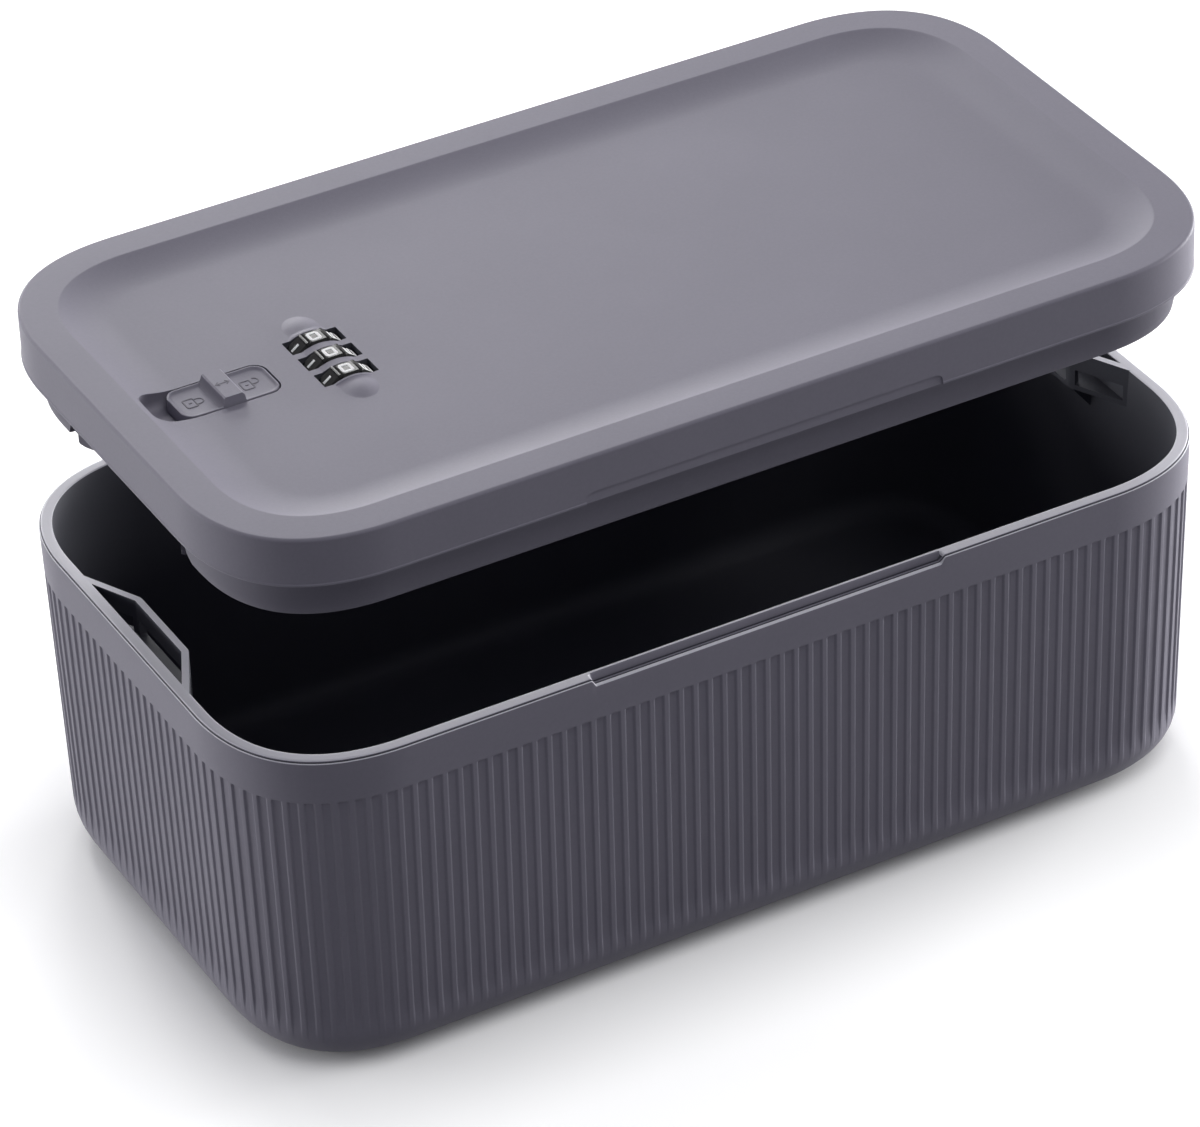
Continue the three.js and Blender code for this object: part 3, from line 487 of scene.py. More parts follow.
class LOCKBOX_OT_tub(bpy.types.Operator):
    """Build the tub's ribbed wall, lip, notches and inside"""

    bl_idname = "lockbox.tub"
    bl_label = "Tub"

    def execute(self, context):
        sizes = context.scene.lock_box_sizes
        ribs = sizes.rib_count
        half_rib = [0.2, 0.235, 0.27, 0.34, 0.375, 0.41]
        offsets = np.array([-0.5, *[-share for share in half_rib[::-1]], 0, *half_rib])
        dense = np.linspace(0, 8, 16001)
        path = outline(dense, 0)
        walked = np.concatenate([[0], np.cumsum(np.linalg.norm(np.diff(path, axis=0), axis=1))])
        pitch = walked[-1] / ribs
        marks = ((np.arange(ribs)[:, None] + 0.5 + offsets) * pitch).ravel()
        by_notch_end = (np.abs(np.abs(path[:-1, 0]) - NOTCH_HALF) < 1.2 * MM) & (
            np.abs(path[:-1, 1]) > BOX_WIDTH / 2 - 1 * MM)
        grid = 0.02 * MM
        marks = np.concatenate([marks, walked[:-1][by_notch_end][::2]]) % walked[-1]
        marks = np.unique(np.round(marks / grid)) * grid
        params = np.interp(marks, walked, dense)
        count = len(params)
        normals = outline_normals(params)
        across = np.abs((marks / pitch) % 1 - 0.5) * pitch
        groove_top = TUB_HEIGHT - sizes.band_height
        cut = 1 - ease((across - sizes.groove_floor / 2) / sizes.groove_wall)

        def wall_inset(z):
            return WALL_TAPER * (1 - z / TUB_HEIGHT)

        def wall_row(inset, z):
            points = ring(params, inset, z)
            fade = ease((groove_top - z) / (0.5 * MM)) * ease((z - GROOVE_LOW) / GROOVE_FADE)
            depth = sizes.groove_depth * fade
            points[:, :2] -= normals * (cut * depth)[:, None]
            return points

        foot = wall_inset(FOOT_RADIUS)
        rows = [wall_row(foot + FOOT_RADIUS * (1 - math.sin(a)), FOOT_RADIUS * (1 - math.cos(a)))
                for a in quarter(10)]
        levels = [13, 14.5, 16, 17.5, 22, 34, 48, 62, 73]
        tops = groove_top / MM - np.array([0.6, 0.5, 0.38, 0.25, 0.12, 0, -0.3])
        rows += [wall_row(wall_inset(z * MM), z * MM) for z in [*levels, *tops]]

        # Each row has its place on the plain lip and its place in the notch, in millimetres
        lip = [
            ((0.11, 84.6), (0.11, 84.6)),
            ((0.03, 88.9), (0.06, 87.1)),
            ((0.05, 89.22), (0.10, 87.5)),
            ((0.10, 89.36), (0.26, 87.76)),
            ((0.25, 89.42), (0.70, 87.9)),
            ((0.29, 89.36), (0.77, 87.84)),
            ((0.32, 88.95), (0.82, 87.4)),
            ((0.40, 88.95), (1.02, 87.4)),
            ((0.42, 89.66), (1.06, 87.9)),
            ((0.46, 89.84), (1.12, 88.02)),
            ((0.57, 89.95), (1.42, 88.05)),
            ((0.80, 90.0), (1.50, 87.98)),
            ((1.2, 90.0), (1.56, 87.55)),
            ((1.6, 90.0), (1.90, 87.55)),
            ((1.9, 90.0), (2.02, 88.0)),
            ((2.05, 90.0), (2.12, 89.6)),
            ((2.15, 90.0), (2.20, 89.9)),
            ((2.3, 90.0), (2.36, 90.0)),
            ((2.85, 90.0), (2.85, 90.0)),
            ((3.02, 89.95), (3.02, 89.95)),
            ((3.1, 89.78), (3.1, 89.78)),
        ]
        lip_start = len(rows)
        plan = outline(params, 0)
        on_long_side = np.abs(plan[:, 1]) > BOX_WIDTH / 2 - 1 * MM
        notched = on_long_side * ease((NOTCH_HALF - np.abs(plan[:, 0])) / (1.4 * MM) + 0.5)
        for (inset, z), (notch_inset, notch_z) in lip:
            rows.append(ring(
                params,
                (inset + (notch_inset - inset) * notched) * MM,
                (z + (notch_z - z) * notched) * MM,
            ))
        outer_count = len(rows)
        slope = WALL_TAPER / (TUB_HEIGHT - FLOOR - INSIDE_FOOT)
        for z in (80 * MM, 45 * MM):
            rows.append(ring(params, sizes.lip_width + slope * (TUB_HEIGHT - z), z))
        foot_inset = sizes.lip_width + WALL_TAPER
        for a in quarter(6)[::-1]:
            inset = foot_inset + INSIDE_FOOT * (1 - math.sin(a))
            rows.append(ring(params, inset, FLOOR + INSIDE_FOOT * (1 - math.cos(a))))
        # Shell 0, lip 1 and inside 2, for the plain lip and for the notch: the lip colour on the ledge and on
        # the top is a painted highlight, and the inside colour in the groove under the lip, in the groove at
        # the scoop's foot and over the whole inside is painted shade
        plain = [0] * 2 + [1] * 2 + [0] + [2] * 3 + [0] + [1] * 11
        in_notch = [0] * 2 + [1] * 2 + [0] + [2] * 3 + [0] * 3 + [2] * 3 + [0] * 3 + [1] * 3
        vertices, faces, materials = skin(
            rows, [0] * lip_start + plain + [2] * (len(rows) - outer_count))
        materials = np.array(materials)
        inner = notched > 0.5
        for k, chosen in enumerate(in_notch, start=lip_start):
            materials[k * count:(k + 1) * count][inner] = chosen
        piece = new_piece("tub_shell", vertices, faces, ["shell_plastic", "lip_painted_highlight", "inside_painted_shade"],
                          materials.tolist())
        smooth(piece.data, 50)
        place(piece, "tub", "shell", "tub")
        return {"FINISHED"}


class LOCKBOX_OT_keepers(bpy.types.Operator):
    """Build the two keepers that the bolts enter"""

    bl_idname = "lockbox.keepers"
    bl_label = "Keepers"

    def execute(self, context):
        wall = BOX_LENGTH / 2 - context.scene.lock_box_sizes.lip_width
        face = wall - KEEPER_REACH
        slope = (KEEPER_BASE - KEEPER_FACE) / KEEPER_REACH
        low = TUB_HEIGHT - KEEPER_LOW
        shelf_top = low + KEEPER_SHELF

        def plan(inset, root, corner):
            half = KEEPER_FACE - inset * (math.hypot(1, slope) - slope)
            near = face + inset
            base = half + slope * (root - near)
            return rounded([(near, half), (near, -half), (root, -base), (root, base)], [corner, corner, 0, 0])

        def cheek(side):
            """Plan of the window in a slanted cheek, between the corner post and the wall."""
            run, rise = KEEPER_REACH, KEEPER_BASE - KEEPER_FACE
            length = math.hypot(run, rise)

            def at(along, out):
                return (face + (run * along - rise * out) / length,
                        side * (KEEPER_FACE + (rise * along + run * out) / length))

            points = [at(KEEPER_POST, 1 * MM), at(length - KEEPER_POST, 1 * MM),
                      at(length - KEEPER_POST, -KEEPER_WALL - 1 * MM), at(KEEPER_POST, -KEEPER_WALL - 1 * MM)]
            return points if side < 0 else points[::-1]

        for name, turn in (("keeper_right", 0), ("keeper_left", math.pi)):
            piece = prism(name, plan(0, wall + 0.2 * MM, 3 * MM), low, TUB_HEIGHT - 0.01 * MM, "lip_painted_highlight")
            piece.data.materials.append(finish("inside_painted_shade"))
            piece.data.materials.append(finish("shell_plastic"))
            pocket = prism("pocket", plan(KEEPER_WALL, wall + 0.05 * MM, 1.2 * MM), shelf_top,
                           TUB_HEIGHT + 1 * MM, "inside_painted_shade")
            half = KEEPER_FACE - KEEPER_POST
            opening = box_outline(-half, shelf_top, half, TUB_HEIGHT - KEEPER_BAND, 0.5 * MM)
            window = prism("window", opening, face - 2 * MM, face + KEEPER_WALL + 1 * MM, "inside_painted_shade",
                           along="x")
            sides = [prism("window", cheek(y), shelf_top, TUB_HEIGHT - KEEPER_BAND, "inside_painted_shade")
                     for y in (-1, 1)]
            combine(piece, "DIFFERENCE", [pocket, window, *sides])
            gussets = [prism(
                "gusset", [(face + 0.05 * MM, low + 0.5 * MM), (wall + 1.2 * MM, low - 10 * MM),
                           (wall + 0.4 * MM, low + 0.5 * MM)],
                y - 0.7 * MM, y + 0.7 * MM, "inside_painted_shade", along="y")
                for y in (-GUSSET_SPREAD, GUSSET_SPREAD)]
            combine(piece, "UNION", gussets)
            # The whole keeper first takes the inside colour, as painted shade
            for polygon in piece.data.polygons:
                polygon.material_index = 1
            # The keeper's rounded edges take the lighter shell colour, as painted highlight lines along the
            # edges
            soften(piece, 0.25 * MM, material=2)
            # The keeper's top faces take the lip colour, as a painted highlight
            for polygon in piece.data.polygons:
                if polygon.normal.z > 0.3 and polygon.center.z > TUB_HEIGHT - 0.5 * MM:
                    polygon.material_index = 0
            place(turned(piece, turn), "tub", "shell")
        return {"FINISHED"}


def dish_drop(inset, sizes):
    share = min(max((inset - sizes.border_width) / sizes.dish_width, 0), 1)
    return (RIM_HEIGHT - PANEL_TOP) * (1 - (1 - share) ** 2)


class LOCKBOX_OT_lid_cover(bpy.types.Operator):
    """Build the lid's cover with its border, dish, slot, dial windows, ridge and bumps"""

    bl_idname = "lockbox.lid_cover"
    bl_label = "Lid cover"

    def execute(self, context):
        sizes = context.scene.lock_box_sizes
        params = side_params(10, 30)
        border = sizes.border_width
        radius = sizes.edge_radius
        face = 0.16 * MM
        panel = border + sizes.dish_width
        dish = [border + sizes.dish_width * share for share in
                (0.03, 0.07, 0.12, 0.18, 0.25, 0.33, 0.42, 0.52, 0.63, 0.75, 0.88, 1.0)]
        inner = [(inset, RIM_HEIGHT - SHEET - dish_drop(inset, sizes))
                 for inset in (panel, border + 6 * MM, border)]
        profile = [
            *inner, (SHEET, RIM_HEIGHT - SHEET), (SHEET, 0.3 * MM),
            (SHEET - 0.2 * MM, 0), (0.3 * MM, 0), (0.1 * MM, 0.08 * MM), (0, 0.28 * MM), (0, 0.5 * MM),
            (0.04 * MM, 0.62 * MM), (face, 0.76 * MM), (face, RIM_HEIGHT / 2),
            *[(face + radius * (1 - math.cos(a)), RIM_HEIGHT - radius * (1 - math.sin(a)))
              for a in quarter(5)],
            (border / 2, RIM_HEIGHT), (border - 0.25 * MM, RIM_HEIGHT), (border, RIM_HEIGHT - 0.03 * MM),
            *[(inset, RIM_HEIGHT - dish_drop(inset, sizes)) for inset in dish],
        ]
        vertices, faces, _ = skin([ring(params, inset, z) for inset, z in profile])
        piece = new_piece("lid_cover_shell", vertices, faces, ["shell_plastic"])
        piece.data.materials.append(finish("inside_painted_shade"))

        slot = (SLOT_LEFT, -SLOT_HALF, SLOT_RIGHT, SLOT_HALF)
        wall = 1.6 * MM
        tray = prism("tray", box_outline(slot[0] - wall, slot[1] - wall, slot[2] + wall, slot[3] + wall,
                                         SLOT_CORNER + wall), SLOT_FLOOR - 1.4 * MM, PANEL_TOP - 0.3 * MM,
                     "shell_plastic")
        arch = self.arch()
        bumps = [self.bump(y) for y in (-1, 1)]
        combine(piece, "UNION", [tray, arch, *bumps])
        hollow = [(2.2, 0), (1.3, 0.18), (0.65, 0.6), (0.22, 1.25), (0, 2.2), (0, 12)]
        rows = []
        for inset, height in hollow:
            inset, level = inset * MM, SLOT_FLOOR + height * MM
            rows.append(at_level(box_outline(slot[0] + inset, slot[1] + inset, slot[2] - inset, slot[3] - inset,
                                             SLOT_CORNER - inset), level))
        vertices, faces, _ = skin(rows)
        cutters = [new_piece("slot", vertices, faces, ["shell_plastic"])]
        # The window cutters carry the inside colour onto the windows' walls, as painted shade
        for k in (-1, 0, 1):
            y = k * DIAL_PITCH
            cutters.append(prism(
                "window", box_outline(DIAL_X - WINDOW_HALF[0], y - WINDOW_HALF[1], DIAL_X + WINDOW_HALF[0],
                                      y + WINDOW_HALF[1], 0.25 * MM, 2),
                PANEL_TOP - 6 * MM, RIM_HEIGHT + 5 * MM, "inside_painted_shade"))
        for side in (-1, 1):
            outer = side * (BOX_WIDTH / 2 + 1 * MM)
            inner_y = side * (BOX_WIDTH / 2 - 0.55 * MM)
            cutters.append(prism(
                "notch", box_outline(-NOTCH_HALF, -4 * MM, NOTCH_HALF, RIM_NOTCH, 1.9 * MM),
                min(outer, inner_y), max(outer, inner_y), "shell_plastic", along="y"))
        combine(piece, "DIFFERENCE", cutters)
        soften(piece, 0.22 * MM)
        lift(piece, LID_Z)
        place(piece, "lid", "shell", "lid_cover")
        return {"FINISHED"}

    arch_radius = 10.6 * MM
    arch_half = 1.5 * DIAL_PITCH - 0.4 * MM

    def arch_height(self, x):
        """Height of the ridge above the panel at a distance from its middle."""
        sag = self.arch_radius - np.sqrt(self.arch_radius ** 2 - np.minimum(np.abs(x), 9 * MM) ** 2)
        return ARCH_HEIGHT - sag

    def arch(self):
        """Ridge that follows the dials."""
        low = PANEL_TOP - 0.8 * MM
        reach = math.sqrt(self.arch_radius ** 2 - (self.arch_radius - ARCH_HEIGHT - 0.6 * MM) ** 2)
        xs = np.linspace(reach, -reach, 33)
        curve = [(DIAL_X + x, PANEL_TOP + self.arch_height(x)) for x in xs]
        return prism("arch", [*curve, (DIAL_X - reach, low), (DIAL_X + reach, low)],
                     -self.arch_half, self.arch_half, "shell_plastic", along="y")

    def bump(self, side):
        """Oval swelling that the ridge runs out into."""
        turn = np.arange(64) * 2 * math.pi / 64
        rows = []
        for share in (1.02, *np.linspace(1, 0.05, 20)):
            x = 7.6 * MM * share * np.cos(turn)
            y = 6.3 * MM * share * np.sin(turn) + 1.5 * DIAL_PITCH + 2.3 * MM
            out = np.clip((y - self.arch_half) / (3.4 * MM), 0, 1)
            ridge = np.maximum(self.arch_height(x) - 0.04 * MM, 0) * (1 - out) ** 2.2
            across = (y - 1.5 * DIAL_PITCH - 2.6 * MM) / (5.6 * MM)
            oval = np.clip(1 - (x / (4.6 * MM)) ** 2 - across ** 2, 0, 1)
            swell = 0.9 * MM * oval ** 1.4
            height = (ridge ** 3 + swell ** 3) ** (1 / 3) - 0.03 * MM
            if share > 1:
                height = np.full(64, -0.8 * MM)
            rows.append(np.column_stack([DIAL_X + x, side * y, PANEL_TOP + height]))
        if side < 0:
            rows = [row[::-1] for row in rows]
        vertices, faces, _ = skin(rows)
        return new_piece("bump", vertices, faces, ["shell_plastic"])


class LOCKBOX_OT_liner(bpy.types.Operator):
    """Build the liner that hangs under the cover and drops inside the tub"""

    bl_idname = "lockbox.liner"
    bl_label = "Lid liner"

    def execute(self, context):
        params = side_params(10, 30)
        low = LINER_LOW
        top = 2.1 * MM
        edge = 1.2 * MM
        wall = 2 * MM
        floor_top = low + 1.5 * MM
        profile = [
            (SKIRT_INSET + edge + 0.3 * MM, low),
            *[(SKIRT_INSET + 0.3 * MM + edge * (1 - math.sin(a)), low + edge * (1 - math.cos(a)))
              for a in quarter(4)[1:]],
            (SKIRT_INSET, low + 3 * MM), (SKIRT_INSET, 0.3 * MM), (SHEET + 0.3 * MM, 0.3 * MM),
            (SHEET + 0.3 * MM, top), (SKIRT_INSET + wall, top), (SKIRT_INSET + wall, floor_top),
        ]
        vertices, faces, _ = skin([ring(params, inset, z) for inset, z in profile])
        # The liner takes the darkened plastic, as painted shade
        piece = new_piece("lid_liner_shell", vertices, faces, ["liner_painted_shade"])

        face = BOX_LENGTH / 2 - context.scene.lock_box_sizes.lip_width - KEEPER_REACH - 0.9 * MM
        slope = (KEEPER_BASE - KEEPER_FACE) / KEEPER_REACH

        def recess(grow, root):
            half = KEEPER_FACE + (0.9 * MM + grow) * (math.hypot(1, slope) - slope)
            near = face - grow
            base = half + slope * (root - near)
            return [(near, half), (near, -half), (root, -base), (root, base)]

        def at_end(name, plan, z0, z1, turn):
            return turned(prism(name, plan, z0, z1, "liner_painted_shade"), turn)

        inside_wall = BOX_LENGTH / 2 - SKIRT_INSET - 0.5 * MM
        turns = (0, math.pi)
        walls = [at_end("wall", recess(wall, inside_wall), low + 0.4 * MM, top - 0.1 * MM, t)
                 for t in turns]
        combine(piece, "UNION", walls)
        cuts = [at_end("recess", recess(0, BOX_LENGTH / 2 + 5 * MM), low - 2 * MM, 0.3 * MM, t)
                for t in turns]
        root = KEEPER_FACE + slope * (BOX_LENGTH / 2 - SKIRT_INSET - face)
        ramp = [(-0.5 * MM, 0.3 * MM), (-0.5 * MM, low - 1 * MM), (6.2 * MM, low - 1 * MM),
                (3.4 * MM, low + 2.2 * MM), (1.7 * MM, low + 5.5 * MM), (0.4 * MM, low + 10 * MM)]
        for t in turns[::-1]:
            for y in (-1, 1):
                side_view = [(y * (root + v), z) for v, z in ramp][::y]
                block = prism("ramp", side_view, RAMP_START, RAMP_END, "liner_painted_shade", along="x")
                cuts.append(turned(block, t))
        slot = box_outline(-BOLT_WAY_HALF, floor_top, BOLT_WAY_HALF, floor_top + BOLT_WAY_HEIGHT, 0.3 * MM, 2)
        for t in turns:
            block = prism("bolt_way", slot, face - wall - 1 * MM, face + 1 * MM, "liner_painted_shade", along="x")
            cuts.append(turned(block, t))
        for n in range(1, 9):
            x, y = middle(f"lid_screw_{n}", 0), middle(f"lid_screw_{n}", 1)
            cuts.append(prism("well", circle(x, y, WELL_RADIUS, 40), low - 1 * MM, floor_top + 0.01 * MM,
                              "liner_painted_shade"))
        x0, x1 = DIAL_X - 3.4 * MM, DIAL_X + 3.4 * MM
        y0 = ends("reset_tab", 1)[0]
        cuts.append(prism("tab_way", box_outline(x0, y0 - 1.3 * MM, x1, y0 + 1.9 * MM, 0.5 * MM, 3),
                          low - 1 * MM, floor_top + 1 * MM, "liner_painted_shade"))
        combine(piece, "DIFFERENCE", cuts)
        soften(piece, 0.25 * MM)
        lift(piece, LID_Z)
        place(piece, "lid", "liner", "lid_liner")
        return {"FINISHED"}


# Section of a raised stroke, in shares of its half width and of its height
STROKE_SECTION = [(-1, -1), (-1, 0.6), (-0.7, 1), (0.7, 1), (1, 0.6), (1, -1)]


def stroke(name, paths, width, height, material):
    """Flat raised strokes: each path is a list of points in its own plane, and z is the height above it."""
    vertices, faces = [], []
    for path, closed in paths:
        points = [Vector(p) for p in path]
        count = len(points)
        start = len(vertices)
        for i, p in enumerate(points):
            back = points[i - 1] if i or closed else p
            fore = points[(i + 1) % count] if i < count - 1 or closed else p
            along = (fore - back).normalized()
            across = Vector((-along.y, along.x))
            if closed or 0 < i < count - 1:
                one = (p - back).normalized()
                two = (fore - p).normalized()
                spread = 1 / max(math.cos(one.angle(two, 0) / 2), 0.5)
            else:
                spread = 1
            half = width / 2 * spread
            for share, rise in STROKE_SECTION:
                offset = half * share
                vertices.append((p.x + across.x * offset, p.y + across.y * offset, height * rise))
        sides = len(STROKE_SECTION)
        for i in range(count if closed else count - 1):
            low, high = start + sides * i, start + sides * ((i + 1) % count)
            for k in range(sides):
                n = (k + 1) % sides
                faces.append((low + k, low + n, high + n, high + k))
        if not closed:
            faces.append(tuple(start + k for k in reversed(range(sides))))
            faces.append(tuple(start + sides * (count - 1) + k for k in range(sides)))
    return new_piece(name, vertices, faces, [material])


class LOCKBOX_OT_slider(bpy.types.Operator):
    """Build the slider button with its rim, grip and pictograms"""

    bl_idname = "lockbox.slider"
    bl_label = "Slider"

    def execute(self, context):
        left, right, half = BUTTON_LEFT, BUTTON_RIGHT, BUTTON_HALF
        low = PANEL_TOP - 3.2 * MM
        top = PANEL_TOP + 0.1 * MM
        corner = SLOT_CORNER - 0.4 * MM
        profile = [(0, low), (0, top - 0.28 * MM), (0.08 * MM, top - 0.08 * MM), (0.26 * MM, top),
                   (0.42 * MM, top), (0.58 * MM, top - 0.08 * MM), (0.75 * MM, top - 0.3 * MM),
                   (1.05 * MM, top - 0.5 * MM), (1.5 * MM, top - PLATE_SINK)]
        vertices, faces, _ = skin([
            at_level(box_outline(left + inset, -half + inset, right - inset, half - inset,
                                 max(corner - inset, 0.6 * MM), 8), z)
            for inset, z in profile])
        plate = new_piece("slider_plate", vertices, faces, ["shell_plastic"])
        smooth(plate.data, 30)
        lift(plate, LID_Z)
        place(plate, "slider", "shell", "slider_button")

        x = (left + right) / 2
        floor = top - 0.8 * MM
        high = BUTTON_TOP
        cove = [(x - 4.6 * MM + COVE_RADIUS * math.sin(a), floor + COVE_RADIUS * (1 - math.cos(a)))
                for a in quarter(8)]
        section = [(x + 3 * MM, floor), (x + 2.6 * MM, high - 0.5 * MM), (x + 2.1 * MM, high),
                   (x - 2.0 * MM, high), (x - 2.45 * MM, high - 0.25 * MM), *cove[::-1]]
        grip = prism("slider_grip", section, -half - 0.3 * MM, half + 0.3 * MM, "shell_plastic", along="y")
        for vertex in grip.data.vertices:
            share = (vertex.co.z - floor) / (high - floor)
            vertex.co.y -= math.copysign(0.75 * MM * share, vertex.co.y)
        soften(grip, 0.2 * MM, angle=25)
        lift(grip, LID_Z)
        place(grip, "slider", "shell")

        signs = []
        for centre, is_open in ((left + 5.0 * MM, False), (right - 5.4 * MM, True)):
            body = [(-2.2 * MM, -1.75 * MM), (0.35 * MM, -1.75 * MM), (0.35 * MM, 1.75 * MM),
                    (-2.2 * MM, 1.75 * MM)]
            signs.append(([(centre + u, v) for u, v in rounded(body, 0.4 * MM, 2)], True))
            swing = 0.95 * MM if is_open else 0
            bend = 1.1 * MM
            shackle = [(0.35 * MM, swing - bend), *[
                (1.2 * MM + bend * math.sin(a), swing - bend * math.cos(a)) for a in quarter(8, 0, 180)]]
            if not is_open:
                shackle.append((0.35 * MM, bend))
            signs.append(([(centre + u, v) for u, v in shackle], False))
            signs.append(([(centre - 1.25 * MM, 0), (centre - 0.55 * MM, 0)], False))
        # The pictogram strokes take the darkened shell colour, as painted shade
        icons = stroke("slider_pictograms", signs, 0.36 * MM, 0.12 * MM, "sign_painted_shade")
        smooth(icons.data, 30)
        lift(icons, LID_Z + top - PLATE_SINK)
        place(icons, "slider", "shell")

        arrows = []
        for side in (-1, 1):
            tip = x + side * 1.65 * MM
            back = tip - side * 0.8 * MM
            arrows.append(([(back, -0.75 * MM), (tip, 0), (back, 0.75 * MM)], False))
        arrows.append(([(x - 1.4 * MM, 0), (x + 1.4 * MM, 0)], False))
        # The arrow strokes take the darkened shell colour, as painted shade
        marks = stroke("grip_arrows", arrows, 0.32 * MM, 0.08 * MM, "sign_painted_shade")
        lift(marks, LID_Z + high)
        place(marks, "slider", "shell")
        return {"FINISHED"}


GLYPHS = {
    "0": [([(-1, -1.5), (1, -1.5), (1, 1.5), (-1, 1.5)], True)],
    "1": [([(0, 1.5), (0, -1.5)], False)],
    "2": [([(-1, 0.8), (-1, 1.5), (1, 1.5), (1, 0.1), (-1, -1.5), (1.1, -1.5)], False)],
    "3": [([(-1, 1.5), (1, 1.5), (1, 0), (-0.4, 0)], False), ([(1, 0), (1, -1.5), (-1, -1.5)], False)],
    "4": [([(0.5, -1.5), (0.5, 1.5), (-1.1, -0.5), (1.15, -0.5)], False)],
    "5": [([(1, 1.5), (-0.9, 1.5), (-1, 0.2), (1, 0.2), (1, -1.5), (-1, -1.5)], False)],
    "6": [([(0.9, 1.5), (-1, 1.5), (-1, -1.5), (1, -1.5), (1, 0.1), (-0.9, 0.1)], False)],
    "7": [([(-1, 1.5), (1, 1.5), (-0.2, -1.5)], False)],
    "8": [([(-1, -1.5), (1, -1.5), (1, 1.5), (-1, 1.5)], True), ([(-0.9, 0.05), (0.9, 0.05)], False)],
    "9": [([(-0.9, -1.5), (1, -1.5), (1, 1.5), (-1, 1.5), (-1, -0.1), (0.9, -0.1)], False)],
}


def dense_path(points, closed, radius, gap):
    """A path with rounded corners and a point at least every gap."""
    count = len(points)
    radii = [radius if closed or 0 < i < count - 1 else 0 for i in range(count)]
    loop = rounded(points, radii, 4)
    path = loop + [loop[0]] if closed else loop
    out = []
    for start, end in zip(path, path[1:]):
        steps = max(1, math.ceil(math.dist(start, end) / gap))
        out += [tuple(Vector(start).lerp(Vector(end), k / steps)) for k in range(steps)]
    return out if closed else out + [path[-1]]


class LOCKBOX_OT_dials(bpy.types.Operator):
    """Build the three number dials and their numerals"""

    bl_idname = "lockbox.dials"
    bl_label = "Number dials"

    facet = DIAL_RADIUS - 0.56 * MM

    def surface(self, angle):
        """Radius of the dial at an angle: flat faces, with a round ridge and a groove between two."""
        step = 2 * math.pi / DIGITS
        off = (angle + step / 2) % step - step / 2
        flat = self.facet / math.cos(off)
        ridge = abs(abs(off) - step / 2) / step
        crest = float(ease((0.085 - ridge) / 0.035))
        sink = min(max((0.18 - ridge) / 0.1, 0), 1) * (1 - crest) if off < 0 else 0
        return flat - 0.42 * MM * sink + (DIAL_RADIUS - flat) * crest

    def execute(self, context):
        step = 2 * math.pi / DIGITS
        half = [0.2, 0.31, 0.325, 0.36, 0.395, 0.415, 0.425, 0.435, 0.45, 0.47]
        shares = [-0.5, *[-share for share in half[::-1]], 0, *half]
        angles = [(d + s) * step for d in range(DIGITS) for s in shares]
        radii = np.array([self.surface(a) for a in angles])
        turn = np.array([(math.sin(a), math.cos(a)) for a in angles])
        bore = 3.9 * MM
        chamfer = 0.5 * MM
        half_section = [(None, DIAL_HALF), (0.86, DIAL_HALF), (0.93, DIAL_HALF), (1.0, DIAL_HALF - chamfer)]
        section = [*half_section, *[(share, -level) for share, level in half_section[::-1]]]
        for n, k in enumerate((1, 0, -1), start=1):
            y = k * DIAL_PITCH
            rows = []
            for share, level in section:
                reach = np.full(len(angles), bore) if share is None else radii * share
                rows.append(np.column_stack([
                    DIAL_X + turn[:, 0] * reach, np.full(len(angles), y + level),
                    DIAL_Z + turn[:, 1] * reach]))
            count = len(angles)
            faces = []
            for r in range(len(rows)):
                s = (r + 1) % len(rows)
                faces += [
                    (r * count + i, s * count + i, s * count + (i + 1) % count, r * count + (i + 1) % count)
                    for i in range(count)]
            dial = new_piece(f"dial_{n}_ring", np.concatenate(rows), faces, ["dial_plastic"])
            smooth(dial.data, 30)
            lift(dial, LID_Z)
            place(dial, f"dial_{n}", "dial", f"number_dial_{n}")
            numerals = self.numerals(n, y)
            place(numerals, f"dial_{n}", "dial")
        return {"FINISHED"}

    def numerals(self, n, y):
        size_u, size_v = 1.36 * MM, 0.76 * MM
        paths, owners = [], []
        for digit in range(DIGITS):
            for points, closed in GLYPHS[str(digit)]:
                scaled = [(u * size_u, v * size_v) for u, v in points]
                paths.append((dense_path(scaled, closed, 0.4 * MM, 0.35 * MM), closed))
                owners.append((digit, len(paths[-1][0])))
        piece = stroke(f"dial_{n}_numerals", paths, 0.74 * MM, 0.05 * MM, "numeral_paint")
        step = 2 * math.pi / DIGITS
        at = 0
        for digit, count in owners:
            for vertex in piece.data.vertices[at:at + 6 * count]:
                u, v, height = vertex.co
                angle = -digit * step + v / self.facet
                reach = self.surface(angle) + height
                vertex.co = (DIAL_X + math.sin(angle) * reach, y - u,
                             LID_Z + DIAL_Z + math.cos(angle) * reach)
            at += 6 * count
        smooth(piece.data, 30)
        return piece


